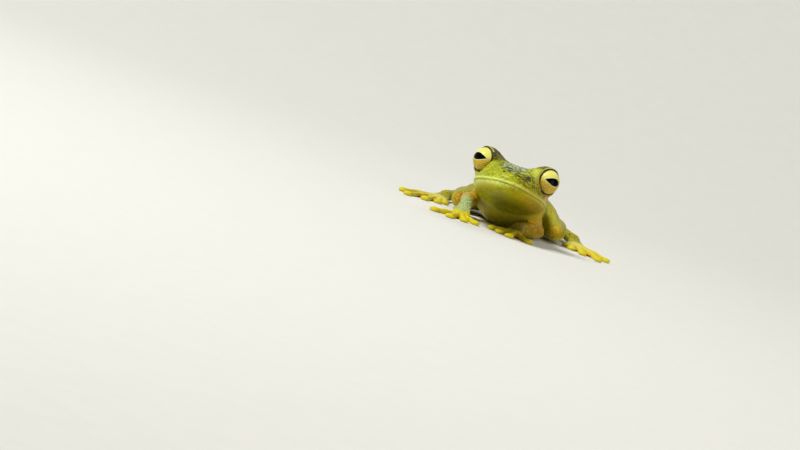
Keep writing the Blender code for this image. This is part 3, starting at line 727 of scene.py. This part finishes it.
def body_offset(points, normals):
    """Low forms of the back: soft ridges over the hip bones, faint folds on the flanks, and the vent."""
    x, y, z = points.T
    upper = ramp(normals[:, 2], 0.2, 0.8) * ramp(z, 5.0, 7.5)
    hips = distance_to_line(np.abs(x), y, HIP_RIDGE)
    flank = ramp(np.abs(normals[:, 0]), 0.5, 0.9) * ramp(y, -10.0, -7.0) * ramp(-y, -9.0, -5.0)
    folds = np.sin(1.9 * y + 0.9 * z + 0.6 * np.sin(1.3 * z)) * ramp(np.abs(x), 4.5, 5.6)
    vent = distance_to(points, VENT_PLACE)
    hollow = 0.22 * hump(vent, 0, 0.3) - 0.12 * hump(vent, 0.55, 0.25)
    return 0.16 * upper * hump(hips, 0, 1.2) + 0.05 * flank * folds - hollow


def grain_relief(points):
    """Low, uneven swellings about 0.65 mm apart: sines along six directions a golden angle apart."""
    total = 0
    for k in range(6):
        turn, tilt = 2.4 * k, math.acos(1 - (2 * k + 1) / 6)
        direction = (math.cos(turn) * math.sin(tilt), math.sin(turn) * math.sin(tilt), math.cos(tilt))
        total = total + np.sin(points @ np.array(direction) * (8.6 + 0.6 * k) + 1.7 * k)
    return total / math.sqrt(6)


def write_mesh(name, points, faces, masks=None):
    """A smooth mesh object in metres, with its masks as attributes of the points."""
    mesh = bpy.data.meshes.new(name)
    mesh.from_pydata((points * MM).tolist(), [], faces.tolist() if hasattr(faces, "tolist") else faces)
    mesh.shade_smooth()
    obj = bpy.data.objects.new(name, mesh)
    bpy.context.scene.collection.objects.link(obj)
    write_masks(mesh, masks or {})
    return obj


def write_masks(mesh, masks):
    for label, values in masks.items():
        layer = mesh.attributes.new(label, "FLOAT", "POINT")
        layer.data.foreach_set("value", np.asarray(values, np.float32))


def thinned(obj, faces):
    """The object with its mesh brought down to about this many triangles, mostly where it is flat."""
    modifier = obj.modifiers.new("thin", "DECIMATE")
    modifier.ratio = faces / (2 * len(obj.data.polygons))
    modifier.use_collapse_triangulate = True
    graph = bpy.context.evaluated_depsgraph_get()
    mesh = bpy.data.meshes.new_from_object(obj.evaluated_get(graph))
    obj.modifiers.clear()
    obj.data = mesh
    mesh.shade_smooth()
    return obj


def mesh_arrays(mesh):
    points = np.empty(len(mesh.vertices) * 3)
    mesh.vertices.foreach_get("co", points)
    corners = np.empty(len(mesh.loops), int)
    mesh.loops.foreach_get("vertex_index", corners)
    return points.reshape(-1, 3) / MM, corners.reshape(-1, 3)


FLESH = ["head", "lower_jaw", "torso", "eardrum_left", "eardrum_right"] + [
    f"{limb}_{word}"
    for limb in ("upper_arm", "forearm", "hand", "thigh", "shank", "tarsus", "foot")
    for word in ("left", "right")
]


class FROG_OT_skin(bpy.types.Operator):
    """Draws one skin over head, trunk and limbs"""

    bl_idname = "frog.skin"
    bl_label = "Skin"

    def execute(self, context):
        sizes = context.scene.frog_sizes
        body, limbs, digits = build_field(sizes)
        points, quads = body.surface()
        normals = point_normals(points, quads)
        offset, _ = face_marks(points, normals)
        offset += body_offset(points, normals)
        offset += GRAIN_HEIGHT * grain_relief(points) * ramp(digits.sample(points), 0.0, 1.0)
        points = points + normals * offset[:, None]
        points[:, 2] = np.maximum(points[:, 2], 0.0)
        skin = thinned(write_mesh("skin", points, quads), SKIN_FACES)
        points, faces = mesh_arrays(skin.data)
        normals = point_normals(points, faces)
        _, masks = face_marks(points, normals)
        masks.update(body_masks(points, normals, limbs, digits))
        write_masks(skin.data, masks)
        skin.data.materials.append(skin_material(context.scene.frog_colours))
        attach(skin, "root")
        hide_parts(*FLESH)
        return {"FINISHED"}


def body_masks(points, normals, limbs, digits):
    """Masks of the belly, the limbs and the digits."""
    x, y, z = points.T
    limb = fade(limbs.sample(points), 0.1, 1.4)
    under = ramp(-normals[:, 2], -0.1, 0.55) * (1 - 0.6 * limb)
    hind = ramp(y, -5.5, -4.0)
    limb = limb * (1 - hind * (1 - 0.4 * ramp(np.abs(x), 3.5, 8.0)))
    finger = fade(digits.sample(points), 0.0, 1.2)
    for *_, size, _, root, _ in extremities():
        finger = finger * ramp(distance_to(points[:, :2], root[:2]), 0.1 * size[0], 0.62 * size[0])
    wrist = ramp(-y, 12.8, 15.0) * ramp(-z, -4.4, -3.4) * (1 - finger) * limb
    hand = wrist * np.where(x < 0, 1.0, 0.12)
    # Painted light on the front of the frog's left upper arm, which lies in the jaw's shade
    painted_arm_light = ramp(x, 3.6, 5.0) * ramp(z, 1.8, 3.2) * ramp(-normals[:, 1], 0.1, 0.7)
    return {
        "under": under,
        "finger": finger,
        "limb": limb,
        "hand": hand,
        "painted_arm_light": limb * painted_arm_light,
        "chest": ramp(-y, 4.0, 11.0),
    }


# Materials


class Recipe:
    """A material's nodes, made by short calls. Patterns read Object coordinates or point attributes."""

    def __init__(self, name):
        self.material = bpy.data.materials.new(name)
        self.material.use_nodes = True
        self.tree = self.material.node_tree
        self.shader = self.tree.nodes["Principled BSDF"]
        self.place = self.tree.nodes.new("ShaderNodeTexCoord").outputs["Object"]

    def feed(self, socket, value):
        if isinstance(value, bpy.types.NodeSocket):
            self.tree.links.new(value, socket)
        else:
            socket.default_value = value

    def node(self, kind, output, inputs, **settings):
        """Adds a node with these inputs and settings, and gives its output."""
        made = self.tree.nodes.new("ShaderNode" + kind)
        for label, value in settings.items():
            setattr(made, label, value)
        for label, value in inputs.items():
            self.feed(made.inputs[label], value)
        return made.outputs[output]

    def finished(self, inputs):
        """The material, with the shader's inputs by their labels."""
        for label, value in inputs.items():
            self.feed(self.shader.inputs[label], value)
        return self.material

    def attribute(self, label):
        return self.node("Attribute", "Fac", {}, attribute_name=label)

    def math(self, operation, first, second=0.0):
        return self.node("Math", 0, {0: first, 1: second}, operation=operation)

    def product(self, *shares):
        """The product of shares. A name stands for the attribute with that name."""
        total, *rest = (self.attribute(share) if isinstance(share, str) else share for share in shares)
        for share in rest:
            total = self.math("MULTIPLY", total, share)
        return total

    def inverse(self, share):
        return self.math("SUBTRACT", 1.0, share)

    def paint(self, tint, *shares):
        """Lays a tint over the ground colour, as strong as the product of the shares."""
        self.ground = self.mix(self.product(*shares), self.ground, tint)

    def lines(self, pattern, inner, outer):
        """1 along the lines where a pattern passes its middle, fading to 0 beside them."""
        off = self.math("ABSOLUTE", self.math("SUBTRACT", pattern, 0.5))
        return self.inverse(self.between(off, inner, outer))

    def ragged(self, share, pattern, shift, span, full):
        """A share whose edge a pattern shifts in and out, and 0 where the share is 0."""
        moved = self.math("ADD", share, self.between(pattern, 0.3, 0.7, *shift))
        return self.product(self.between(moved, *span), self.between(share, 0.0, full))

    def between(self, value, low, high, start=0.0, end=1.0):
        inputs = {"Value": value, "From Min": low, "From Max": high, "To Min": start, "To Max": end}
        return self.node("MapRange", "Result", inputs, interpolation_type="SMOOTHSTEP")

    def mix(self, share, first, second):
        return self.node("Mix", 2, {0: share, 6: first, 7: second}, data_type="RGBA")

    def noise(self, size, detail=3.0, distortion=0.0, rough=0.55):
        """Noise whose features measure about size in metres."""
        inputs = {"Vector": self.place, "Scale": 1 / size, "Detail": detail}
        return self.node("TexNoise", "Fac", inputs | {"Roughness": rough, "Distortion": distortion})

    def grains(self, size):
        """Distance to the nearest of many points, size metres apart."""
        return self.node("TexVoronoi", "Distance", {"Vector": self.place, "Scale": 1 / size})

    def bump(self, height, distance, strength=1.0, normal=None):
        inputs = {"Strength": strength, "Distance": distance, "Height": height}
        return self.node("Bump", "Normal", inputs if normal is None else inputs | {"Normal": normal})


def skin_material(tints):
    """Moist skin: leaf green back, lime face, silvery crown, olive throat, pale belly and yellow digits."""
    skin = Recipe("frog skin")
    broad = skin.noise(2.4 * MM, 2.0)
    fine = skin.noise(0.3 * MM, 4.0)
    speck = skin.noise(0.42 * MM, 3.0, 0.4)
    blotch = skin.noise(1.1 * MM, 4.0, 0.8)
    grains = skin.grains(0.3 * MM)
    face, limb, crown, finger, painted_warm_light = (
        skin.attribute(label) for label in ("face", "limb", "crown", "finger", "painted_warm_light")
    )

    # Ground colour of back, face and limbs
    skin.ground = skin.mix(skin.between(broad, 0.35, 0.7, 0.0, 0.6), tints.leaf, tints.lime)
    skin.paint(tints.lime, face)
    skin.paint(tints.olive, limb, 0.9)
    skin.paint(srgb(112, 106, 2), skin.between(blotch, 0.42, 0.66, 0.0, 0.45))
    grainy = skin.between(skin.math("MAXIMUM", face, skin.product(limb, 0.55)), 0.0, 1.0, 0.22, 0.6)
    skin.paint(srgb(216, 224, 98), skin.between(speck, 0.52, 0.62), grainy)
    pepper = skin.inverse(skin.between(grains, 0.12, 0.3))
    skin.paint(srgb(84, 70, 4), pepper, skin.between(blotch, 0.4, 0.56), 0.6)
    rust = skin.between(skin.noise(0.55 * MM, 3.0, 0.6), 0.46, 0.58)
    skin.paint(srgb(188, 110, 8), rust, limb, 0.7)
    skin.paint(srgb(130, 104, 2), "warm", skin.between(speck, 0.42, 0.6, 0.85, 0.1))

    # Belly, painted light on the left upper arm, and throat with painted warm light and painted shade
    belly = skin.mix(skin.between(speck, 0.4, 0.65), tints.pale, srgb(204, 184, 52))
    skin.paint(skin.mix(skin.product("chest", 0.75), belly, srgb(186, 178, 16)), "under")
    # Painted light: a pale golden tint on the front of the left upper arm
    skin.paint(srgb(236, 194, 66), "painted_arm_light", skin.between(speck, 0.35, 0.65, 0.9, 0.45))
    # Throat colour: painted warm light on the frog's left, its own darker blotches, then painted shade
    # under the jaw
    painted_throat_shading = skin.mix(painted_warm_light, tints.throat, srgb(176, 146, 0))
    painted_throat_shading = skin.mix(skin.between(blotch, 0.4, 0.7, 0.0, 0.45), painted_throat_shading, srgb(112, 92, 0))
    skin.paint(skin.mix(skin.product("painted_throat_shading", 0.75), painted_throat_shading, srgb(92, 88, 0)), "throat")

    # Lids, brow, crown and snout
    skin.paint(srgb(150, 126, 8), "lids", 0.5)
    skin.paint(srgb(78, 72, 4), "brow", 0.8)
    skin.paint(srgb(220, 228, 92), "gleam", 0.75)
    skin.paint(tints.brown, skin.between(skin.noise(0.8 * MM, 3.0, 1.2), 0.46, 0.56), "brow", 0.95)
    patch = skin.ragged(crown, blotch, (-0.55, 0.35), (0.1, 0.5), 0.2)
    frost = skin.mix(skin.between(speck, 0.4, 0.58), srgb(92, 104, 60), tints.silver)
    skin.paint(frost, patch, skin.between(fine, 0.3, 0.5, 0.65, 1.0))
    skin.paint(srgb(66, 66, 0), skin.between(skin.noise(0.9 * MM, 3.0, 1.0), 0.46, 0.54), "mottle")
    skin.paint(srgb(226, 150, 110), "corner", 0.7)

    # Back, wrists and digits
    dots = skin.inverse(skin.between(skin.grains(1.7 * MM), 0.1, 0.17))
    dots = skin.product(dots, skin.between(skin.noise(2.0 * MM, 1.0), 0.46, 0.56))
    skin.paint(tints.brown, dots, skin.inverse(face), 0.8)
    grey = skin.mix(skin.between(fine, 0.4, 0.6), srgb(150, 176, 116), srgb(192, 208, 160))
    skin.paint(grey, "hand", 0.8)
    pads = skin.mix(skin.between(speck, 0.4, 0.7, 0.0, 0.4), tints.gold, srgb(176, 160, 10))
    skin.paint(pads, skin.ragged(finger, blotch, (-0.3, 0.3), (0.1, 0.8), 0.25), 0.92)

    # Lips, with a painted highlight on the lower jaw's rim; eardrums; painted shade in the mouth's groove
    # and the nostrils
    # Pale lips and a painted highlight on the lower jaw's rim, browned by painted warm light on the frog's
    # left
    lip = skin.mix(painted_warm_light, tints.lip, srgb(228, 196, 88))
    skin.paint(lip, "lip", skin.between(blotch, 0.3, 0.6, 0.95, 0.75))
    skin.paint(srgb(140, 112, 30), "ear", 0.5)
    # Painted shade along the mouth's groove
    skin.paint(srgb(70, 58, 2), "mouth", 0.5)
    # Painted shade inside the nostrils' pits
    skin.paint(srgb(30, 22, 4), "nostril")

    # Grain, smoother on the digits and on the back
    rough = skin.between(finger, 0.0, 1.0, 1.0, 0.25)
    rough = skin.product(rough, skin.between(skin.math("MAXIMUM", face, limb), 0.0, 1.0, 0.5, 1.0))
    grain = skin.math("ADD", skin.product(grains, -0.9), skin.product(speck, 1.6))
    swell = skin.bump(skin.product(blotch, rough), 0.16 * MM, 0.6)
    return skin.finished(
        {
            "Base Color": skin.ground,
            "Roughness": skin.between(fine, 0.3, 0.7, 0.32, 0.5),
            "Specular IOR Level": 0.06,
            "Subsurface Weight": 0.12,
            "Subsurface Radius": (1.0, 0.7, 0.2),
            "Subsurface Scale": 0.35 * MM,
            "Coat Weight": skin.between(skin.attribute("mottle"), 0.0, 0.8, 0.24, 0.08),
            "Coat Roughness": 0.16,
            "Coat IOR": 1.3,
            "Normal": skin.bump(skin.product(grain, rough), 0.13 * MM, 1.0, swell),
        }
    )


def eye_material(tints):
    """A horizontal drop-shaped pupil, round to the outside, in a gold iris with a pale inner edge.

    At a share s of its half width, the pupil's half height is (1 + s) sqrt(1 - s) times its height.
    """
    eye = Recipe("frog eye")
    up = eye.attribute("up")
    along = eye.math("DIVIDE", eye.math("ADD", eye.attribute("across"), PUPIL_SHIFT), PUPIL_HALF_WIDTH)
    share = eye.math("MAXIMUM", eye.math("MINIMUM", along, 1.0), -1.0)
    height = eye.product(eye.math("ADD", share, 1.0), eye.math("SQRT", eye.inverse(share)), PUPIL_HEIGHT)
    over = eye.math("SUBTRACT", eye.math("ABSOLUTE", up), height)
    rim = eye.inverse(eye.between(over, 1.0, 4.0))
    veins = eye.noise(0.6 * MM, 4.0, 2.4, 0.65)
    low = eye.between(up, 18.0, -22.0)
    eye.ground = eye.mix(low, tints.iris_high, tints.iris_low)
    eye.paint(srgb(136, 90, 6), eye.lines(veins, 0.015, 0.075), low, 0.9)
    eye.paint(srgb(246, 240, 130), eye.between(eye.noise(0.16 * MM, 2.0), 0.35, 0.7), 0.25)
    eye.paint(srgb(236, 232, 180), rim, eye.between(eye.math("ABSOLUTE", along), 1.12, 0.96), 0.85)
    eye.paint(srgb(70, 52, 16), eye.between(eye.attribute("off"), 84.0, 96.0))
    eye.paint(srgb(4, 3, 2), eye.inverse(eye.between(over, -0.8, 0.8)))
    return eye.finished(
        {
            "Base Color": eye.ground,
            "Roughness": 0.35,
            "Coat Weight": 1.0,
            "Coat Roughness": 0.03,
            "Coat IOR": 1.14,
            "Specular IOR Level": 0.02,
            "Normal": eye.bump(veins, 0.03 * MM, 0.3),
        }
    )


def lid_material(name, tint, second, roughness, coat):
    """Two tints, mixed by noise, with a wet coat."""
    lid = Recipe(name)
    mottle = lid.noise(0.3 * MM)
    return lid.finished(
        {
            "Base Color": lid.mix(lid.between(mottle, 0.35, 0.65), tint, second),
            "Roughness": roughness,
            "Coat Weight": coat,
            "Coat Roughness": 0.15,
            "Normal": lid.bump(mottle, 0.02 * MM, 0.5),
        }
    )


def web_material(tints):
    """Thin wet web: orange-red with darker veins that wander out from the palm."""
    web = Recipe("frog web")
    veins = web.noise(0.7 * MM, 4.0, 1.5)
    web.ground = web.mix(web.between(web.noise(1.6 * MM, 2.0), 0.35, 0.7), tints.web, srgb(246, 140, 60))
    web.paint(srgb(170, 40, 20), web.lines(veins, 0.005, 0.05), 0.5)
    return web.finished(
        {
            "Base Color": web.ground,
            "Roughness": 0.35,
            "Subsurface Weight": 0.4,
            "Subsurface Radius": (1.0, 0.35, 0.15),
            "Subsurface Scale": 0.5 * MM,
            "Coat Weight": 0.4,
            "Coat Roughness": 0.15,
            "Normal": web.bump(veins, 0.04 * MM, 0.5),
        }
    )


# Eyes, lid margins and webs


def eyeball(side, sizes):
    """A ball by angle from the eye's axis and turn round it, its front drawn out a little as the cornea."""
    angle = np.concatenate([np.linspace(0.01, 1.4, 70), np.linspace(1.43, math.pi - 0.02, 30)])[:, None]
    turn = full_turn(144)[None, :]
    radius = sizes.eye_radius / MM * (1 + 0.03 * hump(angle, 0, 0.75))
    rings = eye_frame(side, sizes)[0] + radius[..., None] * eye_direction(side, sizes, angle, turn)
    points, quads, triangles = closed_surface(from_head(rings))
    flat = np.degrees(angle)
    masks = {
        "across": np.append((flat * np.cos(turn)).ravel(), (0.0, 180.0)),
        "up": np.append((flat * np.sin(turn)).ravel(), (0.0, 0.0)),
        "off": np.append((flat + 0 * turn).ravel(), (0.0, 180.0)),
    }
    return outward_faces(points, quads, triangles), masks


def outward_faces(points, quads, triangles):
    """The points and all faces, turned so that the closed surface holds a positive volume."""
    corners = points[triangles]
    volume = np.sum(np.cross(corners[:, 0], corners[:, 1]) * corners[:, 2])
    for first, second in ((1, 2), (2, 3)):
        corners = points[quads[:, (0, first, second)]]
        volume += np.sum(np.cross(corners[:, 0], corners[:, 1]) * corners[:, 2])
    faces = quads.tolist() + triangles.tolist()
    return points, faces if volume > 0 else [face[::-1] for face in faces]


def lid_margin(side, sizes, radius, lift, shift):
    """A tube round the lids' margin, thinner outside, lift off the eyeball and shift behind the margin."""
    turn = full_turn(160)
    angle = lid_angle(turn, sizes) + shift
    over = eye_direction(side, sizes, angle, turn)
    across = eye_direction(side, sizes, angle + math.pi / 2, turn)
    line = eye_frame(side, sizes)[0] + over * (sizes.eye_radius / MM + lift)
    radii = radius * (1 - 0.5 * ramp(np.cos(turn), 0.2, 1.0))
    round_it = full_turn(12)[None, :, None]
    rings = np.cos(round_it) * across[:, None] + np.sin(round_it) * over[:, None]
    points = from_head(line[:, None] + radii[:, None, None] * rings).reshape(-1, 3)
    return outward_faces(points, grid_faces(160, 12, loop=True), np.zeros((0, 3), int))


class FROG_OT_eyes(bpy.types.Operator):
    """Sets the eyeballs in their lids"""

    bl_idname = "frog.eyes"
    bl_label = "Eyes"

    def execute(self, context):
        sizes = context.scene.frog_sizes
        made = eye_material(context.scene.frog_colours)
        for side, word in ((1, "left"), (-1, "right")):
            (points, faces), masks = eyeball(side, sizes)
            obj = write_mesh("eyeball_" + word, points, faces, masks)
            obj.data.materials.append(made)
            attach(obj, "root")
            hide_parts("eye_" + word)
        return {"FINISHED"}


class FROG_OT_lid_margins(bpy.types.Operator):
    """Runs the black and the pale line round each eye"""

    bl_idname = "frog.lid_margins"
    bl_label = "Lid margins"

    def execute(self, context):
        sizes = context.scene.frog_sizes
        dark = lid_material("lid line", srgb(8, 6, 3), srgb(24, 18, 6), 0.5, 0.1)
        pale = lid_material("lid edge", srgb(206, 200, 112), srgb(150, 134, 50), 0.4, 0.3)
        for side, word in ((1, "left"), (-1, "right")):
            for label, made, radius, lift, shift in (
                ("lid_line", dark, 0.17, 0.04, -0.03),
                ("lid_edge", pale, 0.15, 0.16, 0.085),
            ):
                points, faces = lid_margin(side, sizes, radius, lift, shift)
                obj = write_mesh(f"{label}_{word}", points, faces)
                obj.data.materials.append(made)
                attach(obj, "root")
        return {"FINISHED"}


def web_panel(side, root, turn, near, far, reach, sag, half_thick, lift):
    """The web between two digits: rulings from line to line, hollowed between them and at its edge."""
    out = np.linspace(0.12, 1.0, 36)[:, None]
    over = np.linspace(0.0, 1.0, 21)[None, :]
    hollow = 4 * over * (1 - over)
    shares = out * (1 - sag * hollow * out**2) * reach
    first, second = (digit_line(root, side, turn, *digit, shares) for digit in (near, far))
    flat = first * (1 - over[..., None]) + second * over[..., None]
    height = 0.42 - 0.2 * hollow + 0.05 * np.sin(out * 9.0 + over * 5.0) * hollow + root_rise(shares, lift)
    thick = half_thick * (1 - 0.3 * hollow)
    top, bottom = np.dstack([flat, height + thick]), np.dstack([flat, height - thick])
    return closed_surface(np.concatenate([top, bottom[:, ::-1]], axis=1))


class FROG_OT_webs(bpy.types.Operator):
    """Spans the webs between fingers and toes"""

    bl_idname = "frog.webs"
    bl_label = "Webs"

    def execute(self, context):
        sizes = context.scene.frog_sizes
        made = web_material(context.scene.frog_colours)
        names = ("hand_web_left", "hand_web_right", "foot_web_left", "foot_web_right")
        half = sizes.web_thickness / MM / 2
        for name, (side, _, turn, digit_set, _, _, root, lift) in zip(names, extremities()):
            reach, sag = FOOT_WEB if name.startswith("foot") else HAND_WEB
            points, faces, count = [], [], 0
            for near, far in zip(digit_set, digit_set[1:]):
                panel = web_panel(side, root, turn, near, far, reach, sag, half, lift)
                panel_points, panel_faces = outward_faces(*panel)
                points.append(panel_points)
                faces += [[corner + count for corner in face] for face in panel_faces]
                count += len(panel_points)
            obj = write_mesh(name, np.concatenate(points), faces)
            obj.data.materials.append(made)
            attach(obj, "root")
        return {"FINISHED"}


# The studio


def sweep_mesh():
    """A level floor that curves up into a wall behind, as one sheet of straight rulings."""
    bend = np.linspace(0, math.pi / 2, 24)
    curve = BEND_START + BEND_RADIUS * np.sin(bend)
    along = np.concatenate([[FLOOR_FRONT], curve, [BEND_START + BEND_RADIUS]])
    up = np.concatenate([[0.0], BEND_RADIUS * (1 - np.cos(bend)), [WALL_TOP]])
    across = np.linspace(-FLOOR_HALF_WIDTH, FLOOR_HALF_WIDTH, 12)
    rows = np.stack(np.broadcast_arrays(across[None, :], along[:, None], up[:, None]), -1)
    return rows.reshape(-1, 3), grid_faces(len(along), len(across), ring=False)


def add_light(name, place, size, power, tint):
    lamp = bpy.data.lights.new(name, "AREA")
    lamp.shape = "DISK"
    lamp.size = size
    lamp.energy = power
    lamp.color = tint
    obj = bpy.data.objects.new(name, lamp)
    obj.location = place
    obj.rotation_euler = (Vector(AIM) - Vector(place)).to_track_quat("-Z", "Y").to_euler()
    bpy.context.scene.collection.objects.link(obj)


class FROG_OT_studio(bpy.types.Operator):
    """Lays the floor and sets lights and camera"""

    bl_idname = "frog.studio"
    bl_label = "Studio"

    def execute(self, context):
        studio = context.scene.frog_studio
        points, quads = sweep_mesh()
        floor = write_mesh("floor", points / MM, quads)
        floor.data.transform(Matrix.Rotation(studio.azimuth, 4, "Z"))
        paper = Recipe("paper")
        fibre = paper.noise(4 * MM)
        made = {
            "Base Color": paper.mix(fibre, srgb(226, 226, 220), srgb(232, 231, 226)),
            "Roughness": 0.9,
            "Normal": paper.bump(fibre, 0.1 * MM, 0.1),
        }
        floor.data.materials.append(paper.finished(made))
        for light in LIGHTS:
            add_light(*light)
        world = bpy.data.worlds.new("studio")
        world.use_nodes = True
        inputs = world.node_tree.nodes["Background"].inputs
        inputs["Color"].default_value = (0.9, 0.93, 0.96, 1.0)
        inputs["Strength"].default_value = 0.2
        context.scene.world = world
        context.scene.view_settings.view_transform = "Standard"
        place_camera(context.scene, studio)
        return {"FINISHED"}


def place_camera(scene, studio):
    """Aims so that the point between the eyes shows at its place in the picture, which leans clockwise."""
    axes = Matrix.Rotation(studio.azimuth, 4, "Z")
    axes @= Matrix.Rotation(math.pi / 2 - studio.elevation, 4, "X")
    axes @= Matrix.Rotation(studio.roll, 4, "Z")
    scale = studio.picture_width / PICTURE_SIZE[0]
    left_of = (EYES_IN_PICTURE[0] - PICTURE_SIZE[0] / 2) * scale
    below = (PICTURE_SIZE[1] / 2 - EYES_IN_PICTURE[1]) * scale
    from_eyes = axes @ Vector((-left_of, -below, studio.distance))
    camera = bpy.data.cameras.new("camera")
    camera.sensor_width = SENSOR_WIDTH
    camera.lens = SENSOR_WIDTH * studio.distance / studio.picture_width
    camera.clip_start = 0.01
    obj = bpy.data.objects.new("camera", camera)
    obj.matrix_world = Matrix.Translation(Vector(HEAD[:3, 3]) * MM + from_eyes) @ axes
    scene.collection.objects.link(obj)
    scene.camera = obj


class FROG_PT_panel(bpy.types.Panel):
    """Lists the steps in order"""

    bl_label = "Tree Frog"
    bl_idname = "FROG_PT_panel"
    bl_space_type = "VIEW_3D"
    bl_region_type = "UI"
    bl_category = "Tree Frog"

    def draw(self, context):
        for group in (context.scene.frog_sizes, context.scene.frog_colours, context.scene.frog_studio):
            box = self.layout.box()
            for label in group.__annotations__:
                box.prop(group, label)
        for step in STEPS:
            self.layout.operator(step.bl_idname)


STEPS = (FROG_OT_skin, FROG_OT_eyes, FROG_OT_lid_margins, FROG_OT_webs, FROG_OT_studio)
CLASSES = (FrogSizes, FrogColours, StudioSettings, *STEPS, FROG_PT_panel)


def register():
    for made in CLASSES:
        bpy.utils.register_class(made)
    bpy.types.Scene.frog_sizes = bpy.props.PointerProperty(type=FrogSizes)
    bpy.types.Scene.frog_colours = bpy.props.PointerProperty(type=FrogColours)
    bpy.types.Scene.frog_studio = bpy.props.PointerProperty(type=StudioSettings)


def unregister():
    del bpy.types.Scene.frog_sizes
    del bpy.types.Scene.frog_colours
    del bpy.types.Scene.frog_studio
    for made in reversed(CLASSES):
        bpy.utils.unregister_class(made)


def main():
    register()
    bpy.ops.frog.skin()
    bpy.ops.frog.eyes()
    bpy.ops.frog.lid_margins()
    bpy.ops.frog.webs()
    bpy.ops.frog.studio()
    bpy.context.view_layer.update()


if __name__ == "__main__":
    main()
